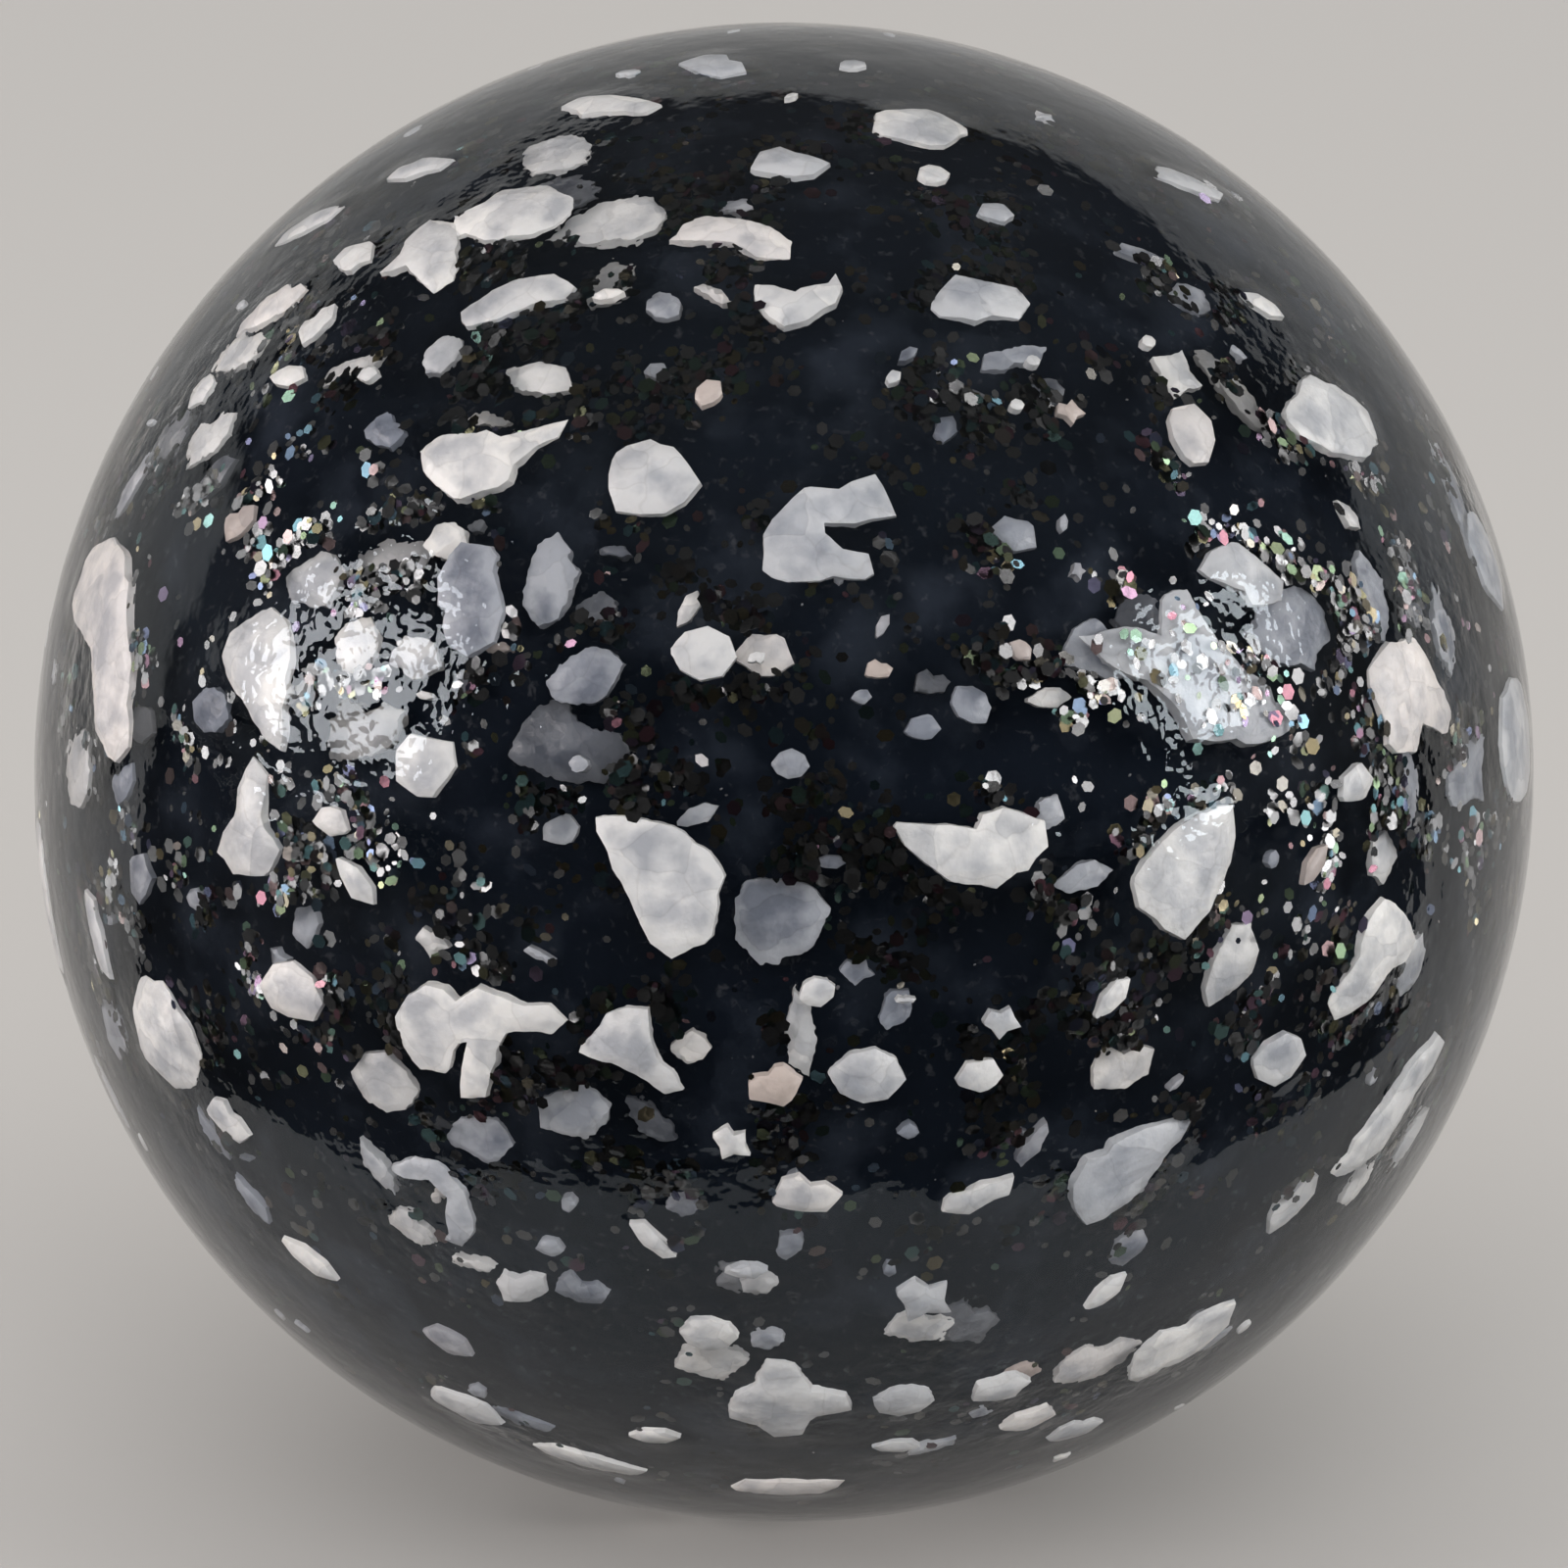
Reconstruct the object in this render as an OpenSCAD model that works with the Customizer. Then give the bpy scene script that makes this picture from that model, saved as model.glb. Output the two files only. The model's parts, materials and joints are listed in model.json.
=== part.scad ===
// Cast cue ball: a black core in a clear casing, with shell chips and glitter flakes set in the casing.
// The ball's centre is the origin. Longitude 0 faces -Y and runs to the right, latitude 90 is straight up.

/* [Ball] */
// Diameter of the finished ball
ball_d = 57.15; // [57.15:0.05:61.5]
// Clear skin left over the highest chips
skin_t = 0.15; // [0.1:0.05:0.3]

/* [Chips] */
// Thickness of every chip
chip_t = 0.7; // [0.4:0.05:0.7]
// Distance from one layer of chips to the next
layer_step = 1.2; // [1.2:0.05:1.5]
// Clear resin between neighbouring pieces of one layer
piece_gap = 0.1; // [0.05:0.05:0.3]
// Places tried when the rest of the ball is filled with chips
fill_tries = 260; // [100:50:800]
// Length of the longest of those chips
fill_longest = 6; // [3:0.5:6]
// Length of the longest of them on the side whose chips are set by hand
fill_longest_front = 1.2; // [0.7:0.1:3]
// Length of the shortest of those chips
fill_shortest = 0.7; // [0.5:0.1:1]
// Places tried again on the far side, where no chips are set by hand
far_tries = 440; // [0:40:800]
// Length of the longest chip added there
far_longest = 5; // [2:0.5:6]
// Start of the random series that fills the ball
fill_seed = 11; // [1:1:99]

/* [Glitter] */
// Width of a flake across its corners
flake_w = 0.8; // [0.4:0.1:1]
// Thickness of a flake
flake_t = 0.1; // [0.06:0.02:0.2]
// Places tried for the flakes
flake_tries = 200; // [100:20:600]

/* [Hidden] */
ball_r = ball_d / 2;
layers = 3;
core_r = ball_r - skin_t - layers * layer_step;
white = "#dcdcda";
grey = "#8b8f96";
tan_shell = "#c9a995";

// Layers in the order they are tried
ANY_LAYER = [for (i = [0 : layers - 1]) i];
TOP_LAYER = [0];
DEEP_LAYERS = [for (i = [1 : layers - 1]) i];
DEEP_FIRST = concat(DEEP_LAYERS, TOP_LAYER);
// The small chips far outnumber the long ones by this power
fill_power = 3;
// The flakes and the far side have their own random series, this far on from the chips' series
flake_seed_step = 10;
far_seed_step = 20;

// Top of a layer, 0 being the layer just under the skin
function layer_top(layer) = ball_r - skin_t - layer * layer_step;

// Large chips: name, longitude, latitude, layer, colour and outline, with x to the right and y up
LARGE_CHIPS = [
    ["front_shard", -8.5, 7.5, 0, white,
        [[-2.6, 2.5], [-0.6, 2.4], [0.8, 1.8], [2, 0.7], [1.8, -0.4], [1.6, -1.8], [0.3, -2.5],
        [-0.4, -2.3], [-1.2, -0.7], [-2.3, 1.5]]],
    ["blue_pebble", -0.5, 5, 1, grey,
        [[-1, 1.5], [1, 1.3], [1.9, 0.5], [1.4, -0.6], [0.6, -1.6], [-0.7, -1.5], [-1.6, -0.7],
        [-1.5, 0.6]]],
    ["boat_chip", 14.5, 10, 0, white,
        [[-3.2, 1.1], [-1.2, 0.9], [-0.3, 0.8], [0, 1.2], [0.7, 1.4], [2.3, 0.9], [2.7, 0], [1.4, -0.9],
        [0.8, -1.5], [-0.9, -1.2], [-2, -0.5], [-2.5, 0.1]]],
    ["hook_chip", 3, 33.5, 0, white,
        [[-1.9, -1.5], [-1.9, 0.2], [-0.3, 1.8], [0.6, 1.4], [1.9, 2.4], [2.9, 1], [2, 0.6], [1.5, 0.2],
        [0.3, 0.3], [0.1, 0], [0.6, -0.6], [1.7, -0.7], [2, -1.6], [-1, -1.7]]],
    ["round_chip", -12, 37.5, 0, white,
        [[-0.5, 1.5], [0.7, 1.1], [1.8, 0], [1.4, -0.8], [0.5, -1.4], [-1.1, -1.4], [-1.5, -0.8],
        [-1.6, 0.8]]],
    ["teardrop_chip", -30, 37.5, 0, white,
        [[-2.2, 0], [-1.6, 0.7], [0.1, 1.1], [1.2, 1.2], [3, 2.2], [2.8, 1.6], [1.8, 0.2], [1.7, -0.7],
        [0, -1.6], [-1.1, -1.3]]],
    ["almond_chip", 31, 6.5, 0, white,
        [[2.2, 2.2], [0.8, 2], [-0.4, 1.7], [-1.6, 0.8], [-2.2, 0], [-2, -1.1], [-1, -2], [-0.1, -2.4],
        [1, -1.3], [1.8, 0], [2.2, 1.1]]],
    ["tall_left_chip", -45, 19, 0, white,
        [[-0.5, 2.3], [0.5, 2.2], [1.3, 0.9], [1.5, -0.2], [2.1, -2.6], [1, -2.1], [-0.8, -1], [-2.1, 0],
        [-1.9, 1.2]]],
    ["knob_chip", -43.5, 7.5, 0, white,
        [[-0.7, 2.3], [0.5, 2.3], [0.7, 0.4], [1.8, -0.5], [1.1, -1.4], [-0.5, -1.8], [-1.4, -1.2],
        [-1.4, -0.4], [-0.7, 0.4]]],
    ["square_chip", -28, 14.5, 0, white,
        [[-0.9, 1.1], [0.9, 1.1], [1.3, 0.4], [0.6, -0.9], [0, -1.1], [-1, -0.7], [-1.2, 0.4]]],
    ["lattice_chip", -26.5, 27, 0, grey,
        [[-1, 2.1], [0.2, 2.3], [0.8, 0.9], [1.4, 0], [1.4, -1.2], [0.6, -2.1], [-0.4, -1.8], [-1.1, -0.5],
        [-1.4, 0.9]]],
    ["glassy_oval", -20.5, 29.5, 1, grey,
        [[-0.2, 1.8], [0.5, 1.4], [1, 0.2], [0.7, -1.2], [0, -1.8], [-0.7, -1.2], [-0.9, 0.2],
        [-0.7, 1.2]]],
    ["grey_round_chip", 46, 22.5, 1, grey,
        [[-0.5, 1.5], [0.8, 1.2], [1.8, 0.5], [1.8, -0.7], [0.5, -1.5], [-1, -1.2], [-2, -0.3],
        [-2.2, 0.4]]],
    ["slab_chip", 41, 27, 0, white,
        [[-1.4, 1.1], [0, 1.2], [0.9, 0.4], [1.7, -0.4], [1.6, -1.1], [0.7, -1.4], [-0.5, -0.5],
        [-1.9, 0.4]]],
    ["glitter_slab", 33.5, 20, 0, white,
        [[-4.2, 2.3], [-2, 2.3], [-1, 1.6], [-0.3, 3.2], [0.8, 3.4], [1.2, 1.4], [2.2, 0.2], [3.5, -0.8],
        [4.4, -1.7], [3.8, -2.4], [1.4, -2.5], [-0.5, -1.7], [-1.2, -0.2], [-3.1, 1.2]]],
    ["right_leaf", 36, -1.5, 1, white,
        [[-0.2, 1.4], [0.7, 1.3], [1.1, 0.4], [0.9, -0.4], [0, -1.1], [-1, -1.5], [-1.3, -1], [-0.9, 0.3]]],
    ["right_band", 50, -3.5, 0, white,
        [[0.1, 2.1], [1.2, 1.6], [2.2, 0.2], [1.8, -0.5], [0.7, -0.7], [-0.7, -1.8], [-2, -2.1],
        [-2.5, -1.2], [-1.2, 0], [-1, 1.4]]],
    ["right_rim_oval", 76, 6.5, 0, white,
        [[0, 2.3], [1.8, 1.8], [2.6, 0], [1.9, -1.9], [0, -2.4], [-1.8, -1.8], [-2.6, 0.2], [-1.7, 1.9]]],
    ["right_rim_tooth", 79, 20, 0, white,
        [[-1.4, 1.2], [0.4, 2], [1.6, 0.8], [1.4, -1], [0, -1.9], [-1.5, -0.8]]],
    ["right_fork", 57, 14.5, 0, white,
        [[-2.4, 1.4], [-1, 2.3], [1, 2], [1.6, 0.5], [2.6, -1], [1.9, -1.8], [0.2, -0.8], [-0.3, -1.8],
        [-1.8, -1.7], [-2.2, -0.5]]],
    ["upper_right_chip", 61, 36, 0, white,
        [[-2.8, 0.9], [0, 1.8], [1.6, 0.9], [2.6, -0.2], [2.2, -1.3], [0.8, -1.9], [-1, -1.3],
        [-2.5, -0.2]]],
    ["upper_teardrop", 41.5, 38, 0, white,
        [[-0.2, 1.2], [0.6, 1.1], [1, 0.5], [0.9, -0.2], [0.2, -1.1], [-0.8, -1.4], [-1, 0], [-0.8, 0.7]]],
    ["upper_left_chip", -41.5, 59, 0, white,
        [[-1.6, 1], [0, 1.6], [1.8, 1.3], [1.9, 0], [1.2, -0.8], [-0.1, -1.6], [-1.8, -1.4], [-2.5, -0.9],
        [-1.8, 0]]],
    ["upper_wedge", -28, 61, 1, white,
        [[-2, -0.5], [-1, 0.6], [0.9, 1.6], [1.9, 0.9], [2, 0], [1.2, -0.8], [-0.8, -1.2], [-2.2, -1.2]]],
    ["upper_bar", -8, 59, 0, white,
        [[-2.1, 0.2], [-1.1, 1.1], [0.1, 0.8], [1.3, 0.6], [2.3, 0.2], [2.2, -0.9], [1.4, -1], [0.5, -0.3],
        [-0.7, -0.4], [-2, -0.3]]],
    ["cup_chip", 1.5, 52.5, 0, white,
        [[-1.5, 0.8], [-0.9, 0.8], [-0.3, 0.4], [1.1, 0.8], [1.4, 1.4], [1.6, 0.8], [1.5, 0], [0.4, -0.7],
        [-0.3, -1.1], [-1, -0.7], [-1.4, 0]]],
    ["lobed_chip", 24, 52, 0, white,
        [[-1.9, 0], [-0.6, 1.2], [0.2, 0.7], [1.4, 0.4], [1.9, -0.2], [1.1, -1.1], [0.2, -0.8], [-0.4, -1],
        [-1.6, -0.5]]],
    ["star_chip", -50.5, 53.5, 0, white,
        [[-1.6, 0.5], [-1.4, 1.4], [-0.2, 1.6], [0.8, 1], [2.2, -0.8], [1.8, -1.4], [0.7, -1.2],
        [-0.3, -0.6], [-1.5, -1.6], [-1, -0.5]]],
    ["slanted_chip", -33, 51, 0, white,
        [[-1.9, -0.8], [-1.3, 0.1], [-0.1, 1], [0.8, 1.4], [2, 1.1], [1.8, 0.4], [0.8, 0.1], [0, -0.9],
        [-1.3, -1.4], [-1.8, -1.2]]],
    ["clover_chip", -23.5, -4.5, 0, white,
        [[-3, 0], [-2.6, 0.9], [-1.7, 1.6], [-0.9, 1.5], [-0.5, 1], [0.2, 1.7], [1.1, 1.6], [2.1, 1.1],
        [2.9, 1.4], [3.7, 0.9], [3.4, 0.3], [1.6, 0.2], [1, -0.7], [0.7, -2.4], [-0.3, -2.5], [-0.4, -1.6],
        [0, -0.3], [-0.4, -0.2], [-0.9, -1.8], [-2.3, -1.7]]],
    ["armed_chip", -11, -4.5, 0, white,
        [[-2.1, -0.3], [-1.5, 0.3], [-1, 1.1], [-0.3, 1.5], [0.5, 1.5], [0.7, 0.6], [0.9, -0.4],
        [1.8, -1.5], [1.2, -1.9], [0.2, -1.1], [-0.9, -0.6]]],
    ["low_leaf", 26.5, -17, 0, white,
        [[-1.8, 0.2], [-1.6, 0.9], [-0.7, 1.5], [0.7, 1.9], [2, 2], [2.9, 1.9], [2.6, 1.3], [1.6, 0.2],
        [1, -0.9], [-0.1, -1.5], [-1, -2], [-1.6, -1.3]]],
    ["low_slanted_bar", 56.5, -17.5, 0, white,
        [[1.9, 2.4], [2.7, 2], [2.3, 0.9], [1.3, 0.4], [0.6, -0.9], [-0.3, -2], [-1.6, -2.5], [-3, -2.2],
        [-2.3, -1.1], [-0.6, 0.5], [0.3, 1.6]]],
    ["left_rim_slab", -68, 15, 0, white,
        [[-4.4, 3], [-2.4, 4], [-0.2, 4], [1.6, 2.2], [3.2, 0.2], [4, -2.4], [3, -3.2], [1.4, -2],
        [-0.4, 0.2], [-3, 0.6], [-4.6, 1]]],
    ["left_low_block", -55, -11, 0, white,
        [[-2, 0.5], [-1, 2], [0.6, 1.9], [2, 0.7], [2.2, -0.5], [1.2, -1.8], [0.2, -2.3], [-0.8, -1.9],
        [-1.8, -1.4]]],
    ["ring_chip", -28.5, -19.5, 0, white,
        [[-1.6, 1.2], [-0.6, 1.9], [0.7, 1.7], [1.5, 0.6], [1.6, -0.8], [0.9, -1.9], [0.2, -1.7],
        [0.4, -1.4], [0.8, -0.7], [0.8, 0.3], [0.2, 1], [-0.9, 0.9]]],
    ["bottom_cross", 0, -38.5, 0, white,
        [[-1.9, 0.4], [-1, 1.1], [-0.8, 2.6], [0.2, 2.7], [0.9, 1.1], [2.2, 0.6], [2.6, -0.4], [1, -0.8],
        [0.8, -2], [-0.2, -2.4], [-0.8, -1.4], [-1.9, -1.2]]],
];

// Outlines of the smaller chips, one unit long
WEDGE = [[-0.5, -0.12], [0.08, -0.36], [0.5, 0], [0.2, 0.34], [-0.38, 0.26]];
PEBBLE = [for (a = [0 : 45 : 315]) [(a % 90 == 0 ? 0.5 : 0.44) * cos(a), 0.4 * sin(a)]];
BAR = [[-0.5, -0.1], [-0.1, -0.17], [0.42, -0.12], [0.5, 0.08], [0, 0.14], [-0.42, 0.12]];
LEAF = [[-0.5, 0], [-0.2, -0.18], [0.2, -0.2], [0.5, 0], [0.22, 0.2], [-0.15, 0.2]];
STAR = [[-0.5, 0.02], [-0.2, -0.16], [-0.06, -0.46], [0.14, -0.16], [0.5, -0.14], [0.22, 0.1],
    [0.16, 0.42], [-0.1, 0.2], [-0.34, 0.34]];
SHARD = [[-0.48, -0.16], [0, -0.3], [0.34, -0.26], [0.5, 0.04], [0.24, 0.2], [0.04, 0.16],
    [-0.12, 0.36], [-0.36, 0.2]];
OUTLINES = [WEDGE, PEBBLE, BAR, LEAF, STAR, SHARD];

// Smaller chips set by hand: longitude, latitude, turn, length and outline
WHITE_CHIPS = [
    [-40, 82, 0, 3, SHARD], [-50, 73, 20, 4, BAR], [40, 82, 0, 1.2, PEBBLE], [1, 67.5, 0, 3, SHARD],
    [33, 71, -20, 3.8, WEDGE], [-50, 67, 10, 3.2, PEBBLE], [-71, 60, 40, 3, BAR], [-81, 51, 50, 3.6, BAR],
    [-24.5, 56, 60, 2.2, WEDGE], [-21.5, 52.5, 20, 1.3, LEAF], [-9, 54.5, -30, 1.6, BAR],
    [27, 65, 0, 1.3, PEBBLE], [33, 60, -20, 1.5, WEDGE], [27, 46, 0, 0.6, PEBBLE],
    [23.5, 42.5, 0, 0.6, PEBBLE], [42, 46, 0, 0.7, PEBBLE], [76, 57, -50, 3.6, BAR],
    [63, 46, -50, 2.2, LEAF], [45, 43.5, 60, 2.6, STAR], [54, 41.5, -80, 3.8, BAR],
    [-62, 51, 20, 2.2, WEDGE], [-69, 44.5, 50, 3.8, LEAF], [-58.5, 45, 80, 2, SHARD],
    [-71, 40.5, 40, 3.2, SHARD], [-40, 46, 80, 1.9, PEBBLE], [-27, 45.5, -5, 3.2, LEAF],
    [-70, 36.5, 60, 1.8, WEDGE], [-57, 40.5, 15, 2.2, LEAF], [-51, 43, 35, 2.6, BAR],
    [-46, 42.5, 20, 1, WEDGE], [-32, 42, 0, 1.9, BAR], [-66, 34, 60, 3, SHARD], [-43, 26.5, 30, 3, WEDGE],
    [-37, 30, 20, 3.4, BAR], [-31, 31.5, 5, 1.8, PEBBLE], [-31, 22.5, 0, 2.4, WEDGE],
    [-37, 22.5, 80, 2.2, PEBBLE], [-36, 16.5, 30, 3.6, SHARD], [-35.5, 9.5, 0, 1.6, WEDGE],
    [-33, 5.5, -40, 2.4, LEAF], [-27, 1.5, 0, 1.5, STAR], [-39, -4, 0, 3, PEBBLE],
    [-17, 11, 20, 1.6, WEDGE], [-70, 6, 70, 3.4, PEBBLE], [-64, -5.5, -70, 3.4, BAR],
    [-80, -7, -80, 6, BAR], [-6.3, 24.5, 0, 2.5, PEBBLE], [-8, 28, 70, 1.6, LEAF],
    [-1.5, 24.7, -10, 2.3, WEDGE], [-6.6, 12.7, 25, 1.8, LEAF], [16, -3, 0, 1.5, STAR],
    [14.5, -7, 0, 1.9, WEDGE], [2.4, 0, 20, 1.4, PEBBLE], [1.2, -3.8, 90, 3.4, BAR],
    [-7, -5, 0, 1.6, PEBBLE], [-3.8, -12, -20, 1.6, STAR], [6.2, -6.5, -5, 2.8, PEBBLE],
    [1.7, -16.3, 0, 2.6, SHARD], [15, -17, 20, 2.9, BAR], [-10.2, -20.7, -50, 2.2, BAR],
    [-3, -23.3, 5, 1.7, LEAF], [-2, -26, 20, 1.4, WEDGE], [-16, -11, 20, 3, WEDGE],
    [-32, -10.5, 0, 3, PEBBLE], [40, -9.5, 0, 2.6, PEBBLE], [26.5, -8.3, 20, 2.8, SHARD],
    [21.5, 20.5, 0, 1.8, LEAF], [48, 10, 10, 2, WEDGE], [24.5, -2, 45, 2, LEAF],
    [56, -6, 70, 2.4, PEBBLE], [58, 29, -60, 1.6, LEAF], [52, 3.5, 80, 2.2, WEDGE],
    [11.7, -26.8, -20, 2.6, STAR], [12, -31, 0, 2.6, SHARD], [11.5, -38.5, 0, 2.4, PEBBLE],
    [21, -38, 20, 2.4, WEDGE], [-6.5, -34.7, 5, 2.8, WEDGE], [-6.3, -30, 0, 2.2, PEBBLE],
    [-13.5, -44, 10, 2.2, LEAF], [-22, -26.5, 30, 2.4, SHARD], [-44.5, -28.5, -30, 2.8, LEAF],
    [-35, -44, -20, 3.2, WEDGE], [-48.5, -16.5, -20, 2.4, SHARD], [-34, -18, -60, 2.6, LEAF],
    [-32, -23.5, -30, 2.2, SHARD], [-27, -26, -10, 2, BAR], [40, -36.5, 40, 5, SHARD],
    [31.5, -38, 20, 3.6, SHARD], [28, -28, 50, 2, LEAF], [47.5, -24.5, 50, 2.8, SHARD],
    [64, -23, 60, 3, LEAF], [57, -25, 70, 2.2, WEDGE], [26, -43.5, 10, 2.2, WEDGE],
    [0.5, -53, 0, 4.2, BAR], [-23, -50, -20, 4, BAR], [12, -45.5, 0, 2, LEAF], [34, -47, 10, 2.4, SHARD],
    [17, -48, 20, 2, BAR], [-28.5, -19.5, 70, 0.9, LEAF],
];
GREY_CHIPS = [
    [-43, 64.5, 20, 2.4, PEBBLE], [-15, 53, -20, 1.5, PEBBLE], [-8, 63.5, 0, 1.3, WEDGE],
    [-14, 47, 0, 1, WEDGE], [26, 47.5, 5, 2.6, BAR], [30, 45, 0, 1.5, PEBBLE], [21.5, 45, -40, 1, WEDGE],
    [16.5, 42, 60, 1.2, WEDGE], [14, 48.5, 30, 1, LEAF], [53, 54, -40, 2.2, BAR], [55, 49, -40, 2, WEDGE],
    [-64, 31, 60, 3, LEAF], [-42, 39, 0, 2, SHARD], [-76, 27, 80, 3, BAR], [-76, 32, 60, 3, WEDGE],
    [-51, 15, 0, 2.2, PEBBLE], [-38.5, 1, 80, 1.8, WEDGE], [-58, 0.5, 80, 2.2, WEDGE],
    [-61.5, 7, 60, 2, SHARD], [-62, 11.5, 0, 2, WEDGE], [-17.5, 17.5, 0, 4.5, SHARD],
    [-16, 22.5, 30, 3, WEDGE], [-16.5, 28, 30, 1.6, WEDGE], [-15.5, 32.5, 0, 1.3, LEAF],
    [-18.5, 1.5, -20, 1.2, BAR], [-16, 16, 0, 0.7, PEBBLE], [0.5, 16.6, 0, 1.4, PEBBLE],
    [6.2, 21.5, 0, 0.8, WEDGE], [8.2, 26.8, 60, 1, LEAF], [11, 19, 0, 1.4, WEDGE],
    [15, 20.5, -50, 1.7, PEBBLE], [12.3, 22.5, 0, 1.4, SHARD], [5.5, 1, 0, 1.3, STAR],
    [3.5, 9.3, 0, 1.2, LEAF], [8.3, -2, 60, 1.7, WEDGE], [-10.5, -12, -50, 2.4, BAR],
    [9.5, -12, 0, 0.8, PEBBLE], [-8, -18.5, 0, 1.3, WEDGE], [0.5, -22, 70, 1.5, WEDGE],
    [-4, -26.7, 10, 1.6, WEDGE], [-1.5, -32, 0, 1.3, PEBBLE], [-17.5, -27.5, 0, 2.2, SHARD],
    [16.5, -32.5, -10, 3, SHARD], [21, 33, -30, 1.9, WEDGE], [27, 23.5, -10, 3.4, SHARD],
    [32, 25.5, 0, 2.2, PEBBLE], [23, 7, 10, 2.6, LEAF], [57, 22.5, 85, 3.8, LEAF], [65, 22, 70, 3.5, BAR],
    [66, 17.5, 80, 3.5, LEAF], [66, 7, 40, 4, STAR], [56, 8, 80, 3, BAR], [20.5, 12, 60, 1.5, WEDGE],
    [56, 33, 60, 4, SHARD], [80, 25, 70, 5, BAR], [-66, -14, 70, 3, WEDGE], [-53, -19.5, -60, 2.4, LEAF],
    [-51, -25, -60, 2.4, LEAF], [-33, -36, -30, 2.2, WEDGE], [-30, -46, -20, 2.6, BAR],
    [-19.5, -23.5, 0, 1.2, WEDGE], [-24, -14, 0, 2.8, WEDGE], [46, -39, 20, 2, BAR],
    [30, -25, 80, 2, WEDGE], [-75, -22, -70, 3, BAR], [19.5, -14, 60, 2, BAR],
];
TAN_CHIPS = [
    [-7.5, 44.5, 60, 1.3, WEDGE], [29, 41.5, 0, 1.2, STAR], [7.4, 23.3, 0, 1.1, SHARD],
    [-0.6, -7.2, 20, 2.2, WEDGE], [42.7, 5, 45, 1.9, LEAF], [23.5, -38, 10, 1.4, WEDGE],
    [-24, 24, 0, 1.2, LEAF], [-53, 29, 60, 1.8, SHARD], [19, 24, -50, 1, WEDGE],
];

// Unit vector from the ball's centre towards a longitude and latitude
function towards(lon, lat) = [sin(lon) * cos(lat), -cos(lon) * cos(lat), sin(lat)];

// Distance from an outline's origin to its farthest corner
function reach(outline) = max([for (corner = outline) norm(corner)]);

// Height of a flat top whose farthest corner lies on the layer's sphere
function seat(layer, far) = sqrt(pow(layer_top(layer), 2) - far * far);

// A settled piece is [direction, reach, layer, longitude, latitude, turn, length, outline, colour]
function overlaps(direction, far, layer, pieces) =
    len([for (p = pieces)
        let (away = norm(direction - p[0]) * (seat(layer, max(far, p[1])) - chip_t))
        if (p[2] == layer && away < far + p[1] + piece_gap) 1]) > 0;

// The first of the layers tried where a piece lies clear of the others, or -1
function free_layer(direction, far, tried, pieces, i = 0) =
    i == len(tried) ? -1
    : !overlaps(direction, far, tried[i], pieces) ? tried[i]
    : free_layer(direction, far, tried, pieces, i + 1);

// Settles one wished piece, or leaves it out when no layer has room
function settled(wish, tried, colour, pieces) =
    let (direction = towards(wish[0], wish[1]),
        far = wish[3] * reach(wish[4]),
        layer = free_layer(direction, far, tried, pieces))
    layer < 0 ? [] : [[direction, far, layer, wish[0], wish[1], wish[2], wish[3], wish[4], colour]];

function settle(wishes, tried, colour, pieces, i = 0) =
    i == len(wishes) ? pieces
    : settle(wishes, tried, colour, concat(pieces, settled(wishes[i], tried, colour, pieces)), i + 1);

// Wishes spread evenly over the whole ball, the longest first
function spread(tries, longest, shortest, seed) =
    let (around = rands(-180, 180, tries, seed),
        up = rands(-1, 1, tries, seed + 1),
        turns = rands(0, 360, tries, seed + 2),
        kinds = rands(0, len(OUTLINES), tries, seed + 3))
    [for (i = [0 : tries - 1])
        [around[i], asin(up[i]), turns[i], shortest + (longest - shortest) * pow(1 - i / tries, fill_power),
            OUTLINES[floor(kinds[i])]]];

LARGE = [for (c = LARGE_CHIPS)
    [towards(c[1], c[2]), reach(c[5]), c[3], c[1], c[2], 0, 1, c[5], c[4]]];
HAND_SET = settle(TAN_CHIPS, ANY_LAYER, tan_shell,
    settle(GREY_CHIPS, DEEP_FIRST, grey, settle(WHITE_CHIPS, ANY_LAYER, white, LARGE)));
HAND_SET_SIDE = towards(0, 16);
function on_far_side(wish) = towards(wish[0], wish[1]) * HAND_SET_SIDE < 0;
EVEN_FILL = [for (wish = spread(fill_tries, fill_longest, fill_shortest, fill_seed))
    if (wish[3] <= fill_longest_front || on_far_side(wish)) wish];
FAR_FILL = [for (wish = spread(far_tries, far_longest, fill_shortest, fill_seed + far_seed_step))
    if (on_far_side(wish)) wish];
FILL = concat(EVEN_FILL, FAR_FILL);
WHITE_FILL = [for (i = [0 : 2 : len(FILL) - 1]) FILL[i]];
GREY_FILL = [for (i = [1 : 2 : len(FILL) - 1]) FILL[i]];
ALL_CHIPS = settle(GREY_FILL, DEEP_LAYERS, grey, settle(WHITE_FILL, TOP_LAYER, white, HAND_SET));
SMALL_CHIPS = [for (i = [len(LARGE) : len(ALL_CHIPS) - 1]) ALL_CHIPS[i]];

// Glitter flakes lie between the chips of the top layer
FLAKE_OUTLINE = [for (a = [0 : 60 : 300]) [cos(a) / 2, sin(a) / 2]];
FLAKE_WISHES = [for (wish = spread(flake_tries, flake_w, flake_w, fill_seed + flake_seed_step))
    [wish[0], wish[1], wish[2], flake_w, FLAKE_OUTLINE]];
ALL_PIECES = settle(FLAKE_WISHES, TOP_LAYER, "silver", ALL_CHIPS);
FLAKES = [for (i = [len(ALL_CHIPS) : len(ALL_PIECES) - 1]) ALL_PIECES[i]];

// Part of the ball that a piece lies in
ZONES = ["top", "bottom", "front", "left", "right", "back"];
function zone(lon, lat) =
    lat > 50 ? "top" : lat < -30 ? "bottom"
    : abs(lon) <= 25 ? "front" : abs(lon) > 90 ? "back" : lon < 0 ? "left" : "right";

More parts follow.
